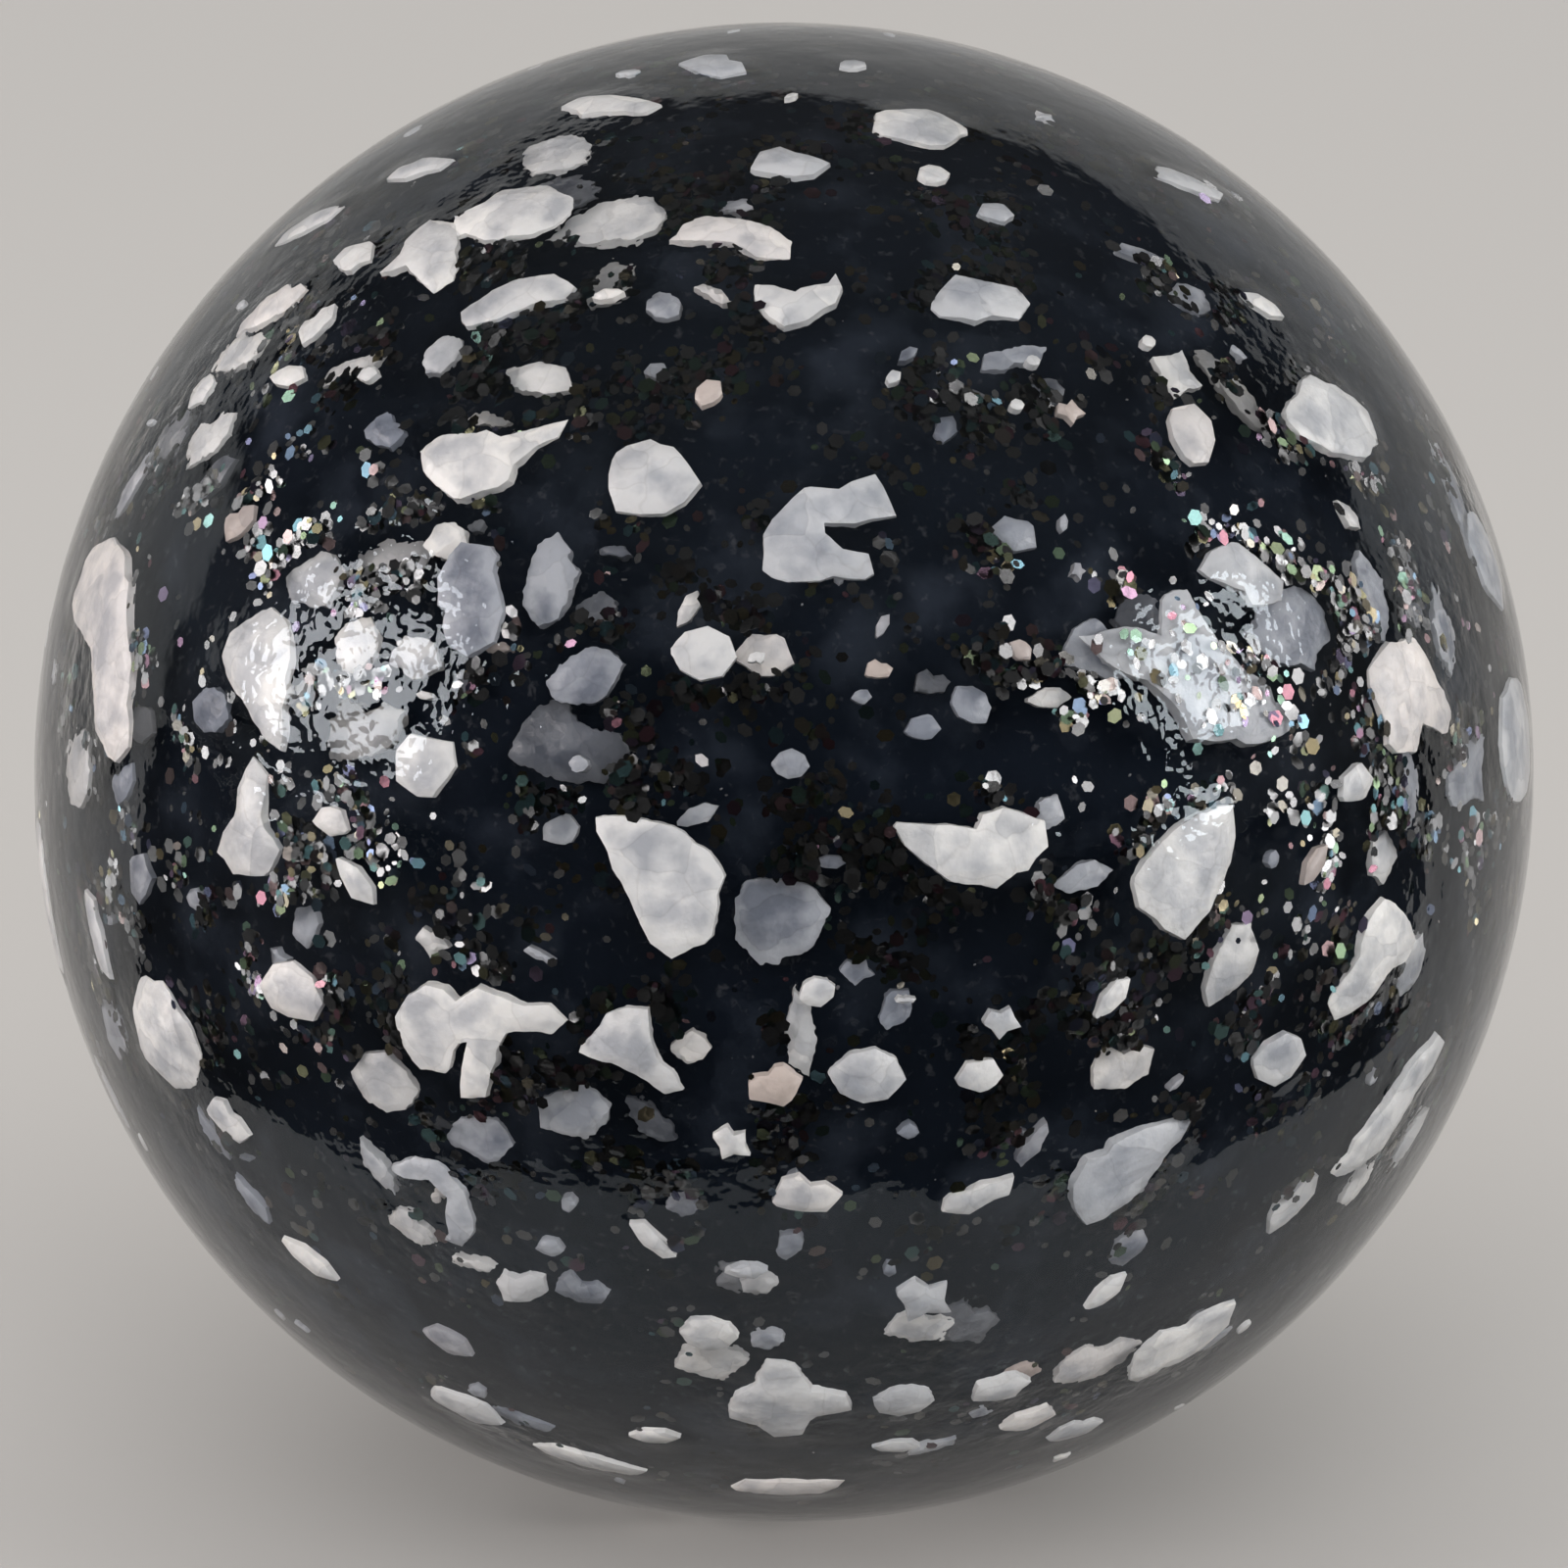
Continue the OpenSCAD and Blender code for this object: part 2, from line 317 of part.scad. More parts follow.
// Turns a piece drawn at the origin, facing +Z, to its place on the ball
module on_ball(lon, lat, turn) {
    rotate([0, 0, lon]) rotate([90 - lat, 0, 0]) rotate([0, 0, turn]) children();
}

// One settled piece, a flat plate whose corners touch its layer's sphere
module plate(piece, thick) {
    on_ball(piece[3], piece[4], piece[5])
        translate([0, 0, seat(piece[2], piece[1]) - thick])
            linear_extrude(thick) polygon(piece[6] * piece[7]);
}

module black_core() {
    color("#121318") sphere(core_r, $fn = 96);
}

module clear_casing() {
    color("#e8ecf0", 0.3)
        difference() {
            sphere(ball_r, $fn = 96);
            sphere(core_r, $fn = 96);
            for (chip = ALL_CHIPS) plate(chip, chip_t);
            for (flake = FLAKES) plate(flake, flake_t);
        }
}

module large_chip(i) {
    color(LARGE[i][8]) plate(LARGE[i], chip_t);
}

module small_chips(colour, zone_name) {
    color(colour)
        for (chip = SMALL_CHIPS) {
            here = zone_name == "" || zone(chip[3], chip[4]) == zone_name;
            if (chip[8] == colour && here) plate(chip, chip_t);
        }
}

module glitter(zone_name) {
    color("silver")
        for (flake = FLAKES)
            if (zone(flake[3], flake[4]) == zone_name) plate(flake, flake_t);
}

black_core();
clear_casing();
for (i = [0 : len(LARGE_CHIPS) - 1])
    large_chip(i);
for (z = ZONES) {
    small_chips(white, z);
    small_chips(grey, z);
    glitter(z);
}
small_chips(tan_shell, "");  // tan_chips
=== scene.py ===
"""Cast cue ball: black core, clear casing, crushed-shell chips and rainbow glitter, in a small studio."""

import json
import math
import random

import bmesh
import bpy
import numpy as np
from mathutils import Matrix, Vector, geometry, noise


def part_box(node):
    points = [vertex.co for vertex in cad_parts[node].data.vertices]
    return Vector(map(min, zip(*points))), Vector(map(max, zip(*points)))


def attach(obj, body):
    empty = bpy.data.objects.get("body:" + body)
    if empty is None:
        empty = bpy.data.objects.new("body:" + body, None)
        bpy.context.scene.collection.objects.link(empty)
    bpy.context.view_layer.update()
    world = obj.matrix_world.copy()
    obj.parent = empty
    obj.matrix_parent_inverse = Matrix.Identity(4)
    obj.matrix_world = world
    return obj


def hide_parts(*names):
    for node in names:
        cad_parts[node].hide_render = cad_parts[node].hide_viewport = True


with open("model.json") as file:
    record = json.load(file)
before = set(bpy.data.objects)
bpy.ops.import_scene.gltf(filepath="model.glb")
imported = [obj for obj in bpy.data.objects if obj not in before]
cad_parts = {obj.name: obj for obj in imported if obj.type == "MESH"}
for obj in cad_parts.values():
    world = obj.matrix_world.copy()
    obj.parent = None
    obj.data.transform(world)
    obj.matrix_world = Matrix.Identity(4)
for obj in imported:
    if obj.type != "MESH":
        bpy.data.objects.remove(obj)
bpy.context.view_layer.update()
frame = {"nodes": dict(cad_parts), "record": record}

MM = 0.001

# The ball and its layers, from the frame
casing_low, casing_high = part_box("clear_casing")
core_low, core_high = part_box("black_core")
BALL_R = (casing_high[0] - casing_low[0]) / 2
CORE_R = (core_high[0] - core_low[0]) / 2

# Chips
RIM_ROUND = 0.10 * MM        # radius worn on the edges of a large chip
BREAK_STEP = 0.6 * MM        # length of the straight breaks along a chip's edge
BREAK_DEPTH = 0.13 * MM      # how far the breaks stray from the outline
OUTLINE_STEP = 0.22 * MM     # spacing of the points along a chip's edge
FACE_STEP = 0.30 * MM        # spacing of the points over a chip's face
FACE_WOBBLE = 0.04 * MM      # height of the lumps on a chip's face
FACETS = 4                   # flat breaks across a chip's face
FACET_SLOPE = 0.26           # steepest of those breaks
RIM_HIGHLIGHT_WIDTH = 0.45 * MM        # width of the painted highlight along a chip's edge, a brighter band in its colour
SHARP_EDGE = math.radians(38)
TOP_LAYER_DEPTH = 0.6 * MM   # chips closer than this to the surface lift the skin over them

# Shell material; scales are per metre
CLOUD_SCALE, GRAIN_SCALE = 650, 2200
WARP_SCALE, BREAK_SCALE = 500, 480
BREAK_WARP = 1.6 * MM        # how far the breaks and cracks stray from straight lines
GRAIN_HEIGHT = 0.07 * MM
PAINTED_SHADE_START = 0.9 * MM       # depth below which painted shade dims what lies in the clear resin, as smoky resin would

# Core
CORE_CELLS = 44              # squares along each edge of the six faces that the core is swept from
CORE_ROUGH = 0.02 * MM       # height of the casting's unevenness
SPECK_HEIGHT = 0.03 * MM

# Clear skin
CASING_CELLS = 120           # squares along each edge of the six faces that the ball is swept from
INNER_CELLS = 24             # the same for the casing's inner wall
INNER_SINK = 0.1 * MM        # how far the inner wall lies within the core
SKIN_SINK = 0.03 * MM        # how far the skin lies below the true ball where nothing lifts it
SKIN_LIFT = 0.08 * MM        # how far the skin stands up over a chip near the surface
SKIN_SHOULDER = 0.75 * MM    # width of the slope down from a chip's edge
SKIN_WAVE = 0.012 * MM       # height of the slow waves left by hand polishing
RIPPLE_HEIGHT = 0.05 * MM    # height of the fine ripples
PIT_WEIGHT = 3.5             # height of the pits over crowded chips, as a multiple of the ripples'
CROWD_REACH = 3.0 * MM       # distance over which neighbouring chips make the skin lumpy

# Glitter and dust
FLAKES_PER_MM2 = 42.0
FLAKES_ON_CHIPS_PER_MM2 = 6.0
GLITTERY_CHIPS = ("glitter_slab",)
FILM_SHINE = 0.09            # share of the light that the film flakes throw back
FLAKE_SMALL, FLAKE_LARGE = 0.25 * MM, 0.72 * MM
FLAKE_THICK = 0.02 * MM
FLAKE_DEPTHS = (0.18 * MM, 1.4 * MM)     # shallowest and deepest
FLAKE_DEPTHS_ON_CHIPS = (0.03 * MM, 0.11 * MM)
FLAKE_CLEARANCE = 0.36 * MM  # flakes lie at least this far from a chip's edge
FLAKE_BAND = 0.75 * MM       # width of the band beyond it that most of them lie in
FLAKES_IN_OPEN = 0.12        # share of the flakes away from that band
FLAKES_LOW_DOWN = 0.12       # share of the flakes low on the ball
LOW_DOWN, LOW_FADE = -0.45, 0.25         # height that this holds below, and how far up it fades, in radii
FLAKE_CLUMPING = 0.97        # 0 spreads them evenly, 1 leaves none between the clumps
FLAKE_CLUMPING_ON_CHIPS = 0.6
FLAKE_TILT = math.radians(5)
CLUMP_TILT = math.radians(42)            # lean shared by the flakes of a clump, at the noise's full range
CLUMP_SCALE, LEAN_SCALE = 330, 260       # per metre
CLUMP_EDGE = (0.50, 0.60)    # noise levels between which a clump begins
USUAL_TILT, RARE_TILT, RARITY = 0.8, 2.2, 7.0    # most flakes lean little, a few of them much more
SMALLNESS = 1.4              # above 1, small flakes outnumber large ones
NARROWEST = 0.55             # width of the narrowest flake over its length
DUST_PER_MM2 = 0.3
DUST_DEPTHS = (0.12 * MM, 2.6 * MM)
DUST_CLUMPING = 0.3
DUST_SMALL, DUST_LARGE = 0.04 * MM, 0.18 * MM

# Camera
CAMERA_RADII = 13.5          # distance from the ball's centre in ball radii
CAMERA_RISE = math.radians(16)
FRAME_FILL = 0.9575          # the ball's width as a share of the frame's
FRAME_SHIFT = -0.0075        # the frame's height above the ball's centre, as a share of its width
SENSOR = 36

# Room, as the polished ball sees it; the levels are sky strengths
SIDE_SLOPE, CEILING_SLOPE = 0.33, 0.87   # how the sides and top of the pale part behind the ball lean
BEHIND_LEVEL, CEILING_LEVEL, SIDE_LEVEL, FRONT_LEVEL = 0.5, 0.12, 0.12, 0.02
DIFFUSE_LEVEL, CAMERA_LEVEL = 0.72, 0.5  # the even sky that matt surfaces and the camera see


# ---------------------------------------------------------------- materials

def material(name):
    """A new node material, its tree and its Principled shader."""
    mat = bpy.data.materials.new(name)
    mat.use_nodes = True
    return mat, mat.node_tree, mat.node_tree.nodes["Principled BSDF"]


def node(tree, kind, **settings):
    made = tree.nodes.new(kind)
    for key, value in settings.items():
        setattr(made, key, value)
    return made


def feed(tree, socket, value):
    """Gives a socket its value: another node's output, a colour as a tuple, or a number."""
    if isinstance(value, bpy.types.NodeSocket):
        tree.links.new(value, socket)
    elif isinstance(value, tuple):
        socket.default_value = (*value, 1.0)
    else:
        socket.default_value = value


def math_node(tree, operation, *values):
    made = node(tree, "ShaderNodeMath", operation=operation)
    for socket, value in zip(made.inputs, values):
        feed(tree, socket, value)
    return made.outputs[0]


def smooth_range(tree, value, source, target):
    """A smooth step of a value from one range to another."""
    made = node(tree, "ShaderNodeMapRange", interpolation_type="SMOOTHSTEP")
    for label, end in zip(("From Min", "From Max", "To Min", "To Max"), (*source, *target)):
        feed(tree, made.inputs[label], end)
    feed(tree, made.inputs["Value"], value)
    return made.outputs["Result"]


def scaled(tree, vector, factor):
    """A colour or vector times a factor."""
    made = node(tree, "ShaderNodeVectorMath", operation="SCALE")
    feed(tree, made.inputs[0], vector)
    feed(tree, made.inputs["Scale"], factor)
    return made.outputs["Vector"]


def attribute(tree, name):
    """A number stored on the piece's mesh."""
    return node(tree, "ShaderNodeAttribute", attribute_name=name).outputs["Fac"]


def object_noise(tree, scale, detail):
    """A noise texture on the piece's own coordinates; scale is per metre."""
    where = node(tree, "ShaderNodeTexCoord")
    texture = node(tree, "ShaderNodeTexNoise")
    texture.inputs["Scale"].default_value = scale
    texture.inputs["Detail"].default_value = detail
    tree.links.new(where.outputs["Object"], texture.inputs["Vector"])
    return texture


def ramp(tree, source, stops):
    """The colour that a value has between the stops."""
    made = node(tree, "ShaderNodeValToRGB")
    elements = made.color_ramp.elements
    while len(elements) < len(stops):
        elements.new(0.5)
    for element, (position, colour) in zip(elements, stops):
        element.position = position
        element.color = (*colour, 1.0)
    tree.links.new(source, made.inputs["Fac"])
    return made.outputs["Color"]


def mixed(tree, kind, factor, first, second):
    """Mix of two colours; each may be a socket or a plain colour."""
    made = node(tree, "ShaderNodeMix", data_type="RGBA", blend_type=kind)
    for i, value in ((0, factor), (6, first), (7, second)):
        feed(tree, made.inputs[i], value)
    return made.outputs[2]


def painted_depth_shade(tree, darkest):
    """Painted shade: 1 just under the skin, falling to darkest at the core, darkening deep pieces in their
    own colour as if smoky resin hid them.
    """
    where = node(tree, "ShaderNodeTexCoord")
    length = node(tree, "ShaderNodeVectorMath", operation="LENGTH")
    tree.links.new(where.outputs["Object"], length.inputs[0])
    return smooth_range(tree, length.outputs["Value"], (CORE_R, BALL_R - PAINTED_SHADE_START), (darkest, 1.0))


def bump(tree, height, distance):
    made = node(tree, "ShaderNodeBump")
    made.inputs["Strength"].default_value = 1.0
    made.inputs["Distance"].default_value = distance
    tree.links.new(height, made.inputs["Height"])
    return made.outputs["Normal"]


def shell_material(name, light, dark, darkest):
    """Broken shell: cloudy, with fine cracks, flat breaks shown as patches of painted light and shade, a
    painted highlight along each chip's edge and painted shade by depth; each chip a little different.
    """
    mat, tree, shader = material(name)
    cloud = object_noise(tree, CLOUD_SCALE, 6)
    grain = object_noise(tree, GRAIN_SCALE, 4)
    where = node(tree, "ShaderNodeTexCoord")
    warp = object_noise(tree, WARP_SCALE, 2)
    bent = node(tree, "ShaderNodeVectorMath", operation="MULTIPLY_ADD")
    tree.links.new(warp.outputs["Color"], bent.inputs[0])
    bent.inputs[1].default_value = (BREAK_WARP, BREAK_WARP, BREAK_WARP)
    tree.links.new(where.outputs["Object"], bent.inputs[2])
    breaks = node(tree, "ShaderNodeTexVoronoi", feature="F1")
    cracks = node(tree, "ShaderNodeTexVoronoi", feature="DISTANCE_TO_EDGE")
    for texture in (breaks, cracks):
        texture.inputs["Scale"].default_value = BREAK_SCALE
        tree.links.new(bent.outputs["Vector"], texture.inputs["Vector"])
    tone = attribute(tree, "chip_tone")
    rim = attribute(tree, "chip_rim_highlight")
    # painted highlight: the colour is pushed lighter in a band along each chip's edge
    cloudy = math_node(tree, "MULTIPLY_ADD", rim, 0.13, cloud.outputs["Fac"])
    base = ramp(tree, cloudy, [(0.38, dark), (0.60, light)])
    # painted light and shade: each break patch is a random shade from 0.8 to 1, standing in for flat breaks
    # that catch the light differently
    patch = ramp(tree, breaks.outputs["Color"], [(0.2, (0.80, 0.81, 0.83)), (0.7, (1.0, 1.0, 1.0))])
    crack = ramp(tree, cracks.outputs["Distance"], [(0.0, (0.90, 0.895, 0.89)), (0.025, (1.0, 1.0, 1.0))])
    own = ramp(tree, tone, [(0.0, (0.60, 0.63, 0.68)), (0.35, (0.86, 0.87, 0.88)),
                            (0.8, (1.0, 1.0, 0.99)), (1.0, (1.0, 0.96, 0.94))])
    colour = mixed(tree, "MULTIPLY", 1.0, mixed(tree, "MULTIPLY", 1.0, base, own),
                   mixed(tree, "MULTIPLY", 1.0, patch, crack))
    # painted shade: deep chips are darkened in their colour by depth
    tree.links.new(scaled(tree, colour, painted_depth_shade(tree, darkest)), shader.inputs["Base Color"])
    shader.inputs["Roughness"].default_value = 0.38
    shader.inputs["Subsurface Weight"].default_value = 0.12
    shader.inputs["Subsurface Radius"].default_value = (0.6 * MM, 0.5 * MM, 0.4 * MM)
    tree.links.new(bump(tree, grain.outputs["Fac"], GRAIN_HEIGHT), shader.inputs["Normal"])
    return mat


def black_resin():
    """Black cast resin with a faint haze of bluish specks."""
    mat, tree, shader = material("black_resin")
    specks = object_noise(tree, 2600, 6)
    haze = object_noise(tree, 300, 5)
    dots = ramp(tree, specks.outputs["Fac"],
                [(0.60, (0.0050, 0.0078, 0.0135)), (0.78, (0.045, 0.048, 0.056))])
    mist = ramp(tree, haze.outputs["Fac"], [(0.50, (0.0, 0.0, 0.0)), (0.72, (0.019, 0.023, 0.031))])
    tree.links.new(mixed(tree, "ADD", 1.0, dots, mist), shader.inputs["Base Color"])
    shader.inputs["Roughness"].default_value = 0.6
    shader.inputs["Specular IOR Level"].default_value = 0.03
    tree.links.new(bump(tree, specks.outputs["Fac"], SPECK_HEIGHT), shader.inputs["Normal"])
    return mat


def clear_resin():
    """Clear polished resin: nearly smooth on its own, lumpy where chips crowd under it."""
    mat, tree, shader = material("clear_resin")
    shader.inputs["Base Color"].default_value = (1.0, 1.0, 1.0, 1.0)
    shader.inputs["Transmission Weight"].default_value = 1.0
    shader.inputs["Roughness"].default_value = 0.0
    shader.inputs["IOR"].default_value = 1.5
    shader.inputs["Specular Tint"].default_value = (0.80, 0.91, 1.0, 1.0)
    peel = object_noise(tree, 420, 2)
    pits = object_noise(tree, 1000, 2)
    crowd = attribute(tree, "crowding")
    pitted = math_node(tree, "MULTIPLY", pits.outputs["Fac"], crowd)
    height = math_node(tree, "MULTIPLY_ADD", pitted, PIT_WEIGHT, peel.outputs["Fac"])
    tree.links.new(bump(tree, height, RIPPLE_HEIGHT), shader.inputs["Normal"])
    return mat


def glitter_film():
    """Film flakes that throw back little of the light, each with its own rainbow tint."""
    mat, tree, shader = material("glitter_film")
    tint = ramp(tree, attribute(tree, "flake_tint"), [
        (0.0, (0.95, 0.97, 1.0)), (0.50, (0.9, 0.93, 0.97)), (0.60, (1.0, 0.86, 0.52)),
        (0.68, (0.66, 0.97, 0.62)), (0.77, (0.42, 0.86, 1.0)), (0.85, (0.52, 0.60, 1.0)),
        (0.93, (1.0, 0.48, 0.62)), (1.0, (1.0, 0.92, 0.86))])
    tree.links.new(scaled(tree, tint, FILM_SHINE), shader.inputs["Base Color"])
    shader.inputs["Metallic"].default_value = 1.0
    shader.inputs["Roughness"].default_value = 0.16
    return mat


def dust_material():
    """Shell dust: tiny crumbs, greyer the deeper they lie through painted depth shade."""
    mat, tree, shader = material("shell_dust")
    grain = object_noise(tree, 1500, 1)
    base = ramp(tree, grain.outputs["Fac"], [(0.35, (0.03, 0.032, 0.036)), (0.58, (0.16, 0.16, 0.17)),
                                             (0.72, (0.42, 0.38, 0.36))])
    tree.links.new(scaled(tree, base, painted_depth_shade(tree, 0.12)), shader.inputs["Base Color"])
    shader.inputs["Roughness"].default_value = 0.5
    return mat


# ---------------------------------------------------------------- mesh helpers

def new_piece(name, mesh, mat, smooth=True):
    """An object at the origin with one material, riding on the ball."""
    mesh.materials.clear()
    mesh.materials.append(mat)
    if smooth:
        mesh.polygons.foreach_set("use_smooth", [True] * len(mesh.polygons))
    piece = bpy.data.objects.new(name, mesh)
    bpy.context.scene.collection.objects.link(piece)
    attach(piece, "root")
    return piece


def solids_of(node_name):
    """The separate solids of a CAD node, each a list of its triangles: corners, normal and area."""
    shape = bmesh.new()
    shape.from_mesh(frame["nodes"][node_name].data)
    bmesh.ops.remove_doubles(shape, verts=shape.verts, dist=1e-7)
    shape.faces.index_update()
    left = set(shape.verts)
    solids = []
    while left:
        queue = [left.pop()]
        group = set(queue)
        while queue:
            for edge in queue.pop().link_edges:
                for other in edge.verts:
                    if other in left:
                        left.discard(other)
                        group.add(other)
                        queue.append(other)
        faces = sorted({face for vert in group for face in vert.link_faces}, key=lambda face: face.index)
        solids.append([([v.co.copy() for v in face.verts], face.normal.copy(), face.calc_area())
                       for face in faces])
    shape.free()
    return sorted(solids, key=lambda faces: tuple(round(c, 6) for c in faces[0][0][0]))


class Plate:
    """A flat CAD chip read back as an outline in its own plane: x east, y north, z outwards."""

    def __init__(self, name, faces):
        self.name = name
        middle = sum((corner for corners, _, _ in faces for corner in corners), Vector()) / (3 * len(faces))
        outward = middle.normalized()
        summed = Vector()
        for _, normal, area in faces:
            if normal.dot(outward) > 0.8:
                summed += normal * area
        self.out = summed.normalized()
        east = Vector((-self.out.y, self.out.x, 0.0))
        self.east = east.normalized() if east.length > 1e-6 else Vector((1, 0, 0))
        self.north = self.out.cross(self.east)
        heights = [corner.dot(self.out) for corners, _, _ in faces for corner in corners]
        self.top, self.bottom = max(heights), min(heights)
        rim = {}
        for corners, normal, _ in faces:
            if normal.dot(self.out) > 0.999:
                flat = [(round(c.dot(self.east), 8), round(c.dot(self.north), 8)) for c in corners]
                for a, b in zip(flat, flat[1:] + flat[:1]):
                    if (b, a) in rim:
                        del rim[(b, a)]
                    else:
                        rim[(a, b)] = True
        following = dict(rim.keys())
        start = min(following)
        self.outline = [start]
        while following[self.outline[-1]] != start:
            self.outline.append(following[self.outline[-1]])
        self.reach = max(math.hypot(x, y) for x, y in self.outline)
        self.top_r = math.hypot(self.reach, self.top)

    def place(self, x, y, z):
        return self.east * x + self.north * y + self.out * z


def cut_corners(outline, share):
    """The closed outline with each corner cut off, by a share of its two edges."""
    cut = []
    for (ax, ay), (bx, by) in zip(outline, outline[1:] + outline[:1]):
        cut.append((ax + share * (bx - ax), ay + share * (by - ay)))
        cut.append((bx + share * (ax - bx), by + share * (ay - by)))
    return cut


def respaced(outline, step):
    """The same closed outline with points a step apart."""
    points = []
    for (ax, ay), (bx, by) in zip(outline, outline[1:] + outline[:1]):
        parts = max(1, round(math.hypot(bx - ax, by - ay) / step))
        points += [(ax + (bx - ax) * i / parts, ay + (by - ay) * i / parts) for i in range(parts)]
    kept = [points[0]]
    for point in points[1:]:
        if math.hypot(point[0] - kept[-1][0], point[1] - kept[-1][1]) > 0.55 * step:
            kept.append(point)
    return kept


def edge_distance(points, outline):
    """Distance of each point from the closed outline, negative inside."""
    p = np.asarray(points)[:, None, :]
    a = np.asarray(outline)[None, :, :]
    b = np.roll(a, -1, axis=1)
    along = b - a
    t = np.clip(((p - a) * along).sum(2) / np.maximum((along ** 2).sum(2), 1e-18), 0, 1)
    gap = np.linalg.norm(a + along * t[..., None] - p, axis=2).min(1)
    crosses = (a[..., 1] > p[..., 1]) != (b[..., 1] > p[..., 1])
    rise = np.where(np.abs(along[..., 1]) < 1e-18, 1e-18, along[..., 1])
    side = p[..., 0] < along[..., 0] * (p[..., 1] - a[..., 1]) / rise + a[..., 0]
    inside = ((crosses & side).sum(1) % 2) == 1
    return np.where(inside, -gap, gap)


# ---------------------------------------------------------------- chips

def chipped_outline(plate, rng):
    """The plate's outline broken into short straight edges, with a few deeper nicks."""
    size = plate.reach
    depth = min(BREAK_DEPTH, 0.06 * size)
    broken = []
    for x, y in respaced(cut_corners(plate.outline, 0.14), min(BREAK_STEP, 0.45 * size)):
        nick = depth * (0.6 + (1.6 if rng.random() < 0.12 else 0.0))
        broken.append((x + rng.uniform(-nick, nick), y + rng.uniform(-nick, nick)))
    return respaced(broken, min(OUTLINE_STEP, size / 5))


def facets(size, rng):
    """Flat breaks across a chip's face: the heading, start and slope of each."""
    made = []
    for _ in range(FACETS):
        heading = rng.uniform(0, 2 * math.pi)
        made.append((math.cos(heading), math.sin(heading), rng.uniform(0.0, 0.6) * size,
                     rng.uniform(0.25, 1.0) * FACET_SLOPE))
    return made


def chip_shape(shape, plate, rng, tone_layer, rim_highlight_layer):
    """Adds one chip: a face with flat breaks and a flat back, joined by a sharp edge."""
    outline = chipped_outline(plate, rng)
    breaks = facets(plate.reach, rng)
    seed, tone = rng.uniform(0, 90), rng.random()
    step = max(0.35 * FACE_STEP, min(FACE_STEP, plate.reach / 4))
    rounding = min(RIM_ROUND, 0.15 * plate.reach)
    xs, ys = zip(*outline)
    inner = []
    row = 0
    y = min(ys)
    while y < max(ys):
        x = min(xs) + (step / 2 if row % 2 else 0)
        while x < max(xs):
            inner.append((x, y))
            x += step
        y += step * 0.87
        row += 1
    if inner:
        far_in = edge_distance(inner, outline) < -0.45 * step
        inner = [p for p, keep in zip(inner, far_in) if keep]
    points = [Vector(p) for p in outline + inner]
    flat, _, triangles, _, _, _ = geometry.delaunay_2d_cdt(points, [], [list(range(len(outline)))], 1, 1e-9)
    if not triangles:
        return
    depth = -edge_distance([(p.x, p.y) for p in flat], outline)
    used = sorted({i for triangle in triangles for i in triangle})
    tops, backs = {}, {}
    for i in used:
        x, y = flat[i].x, flat[i].y
        worn = max(0.0, 1.0 - max(0.0, depth[i]) / rounding) if rounding > 0 else 0.0
        drop = rounding * (1.0 - math.sqrt(max(0.0, 1.0 - worn * worn)))
        lumps = noise.noise(Vector((x, y, seed)) * (0.9 / MM))
        lumps += 0.5 * noise.noise(Vector((x, y, seed + 9.0)) * (2.6 / MM))
        dome = math.sqrt(max(1e-12, plate.top_r ** 2 - x * x - y * y))
        broken = max(0.0, *(slope * (x * cx + y * cy - start) for cx, cy, start, slope in breaks))
        face = dome - FACE_WOBBLE * (0.6 + lumps) * min(1.0, plate.reach / MM) - drop - broken
        back_lumps = noise.noise(Vector((x, y, seed + 20.0)) * (0.8 / MM))
        back = plate.bottom + drop + 0.5 * FACE_WOBBLE * (1 + back_lumps)
        tops[i] = shape.verts.new(plate.place(x, y, max(face, back + 0.05 * MM)))
        backs[i] = shape.verts.new(plate.place(x, y, back))
        for corner in (tops[i], backs[i]):
            corner[tone_layer] = tone
            # weight of the painted edge highlight, 1 at the edge and 0 a band's width in
            corner[rim_highlight_layer] = max(0.0, 1.0 - max(0.0, depth[i]) / RIM_HIGHLIGHT_WIDTH)
    rim = {}
    for a, b, c in triangles:
        if (flat[b] - flat[a]).cross(flat[c] - flat[a]) < 0:
            b, c = c, b
        shape.faces.new((tops[a], tops[b], tops[c]))
        shape.faces.new((backs[a], backs[c], backs[b]))
        for start, end in ((a, b), (b, c), (c, a)):
            if (end, start) in rim:
                del rim[(end, start)]
            else:
                rim[(start, end)] = True
    for start, end in rim:
        shape.faces.new((tops[start], backs[start], backs[end], tops[end]))


def chip_piece(node_name, mat):
    """All the chips of one CAD node, reworked as broken shell."""
    plates = [Plate(node_name, faces) for faces in solids_of(node_name)]
    shape = bmesh.new()
    tone_layer = shape.verts.layers.float.new("chip_tone")
    rim_highlight_layer = shape.verts.layers.float.new("chip_rim_highlight")
    for plate in plates:
        rng = random.Random(f"{node_name} {plate.out.x:.4f} {plate.out.z:.4f}")
        chip_shape(shape, plate, rng, tone_layer, rim_highlight_layer)
    mesh = bpy.data.meshes.new(node_name + "_shell")
    shape.to_mesh(mesh)
    shape.free()
    mesh.set_sharp_from_angle(angle=SHARP_EDGE)
    piece = new_piece(node_name + "_shell", mesh, mat)
    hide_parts(node_name)
    return plates


# ---------------------------------------------------------------- core and casing

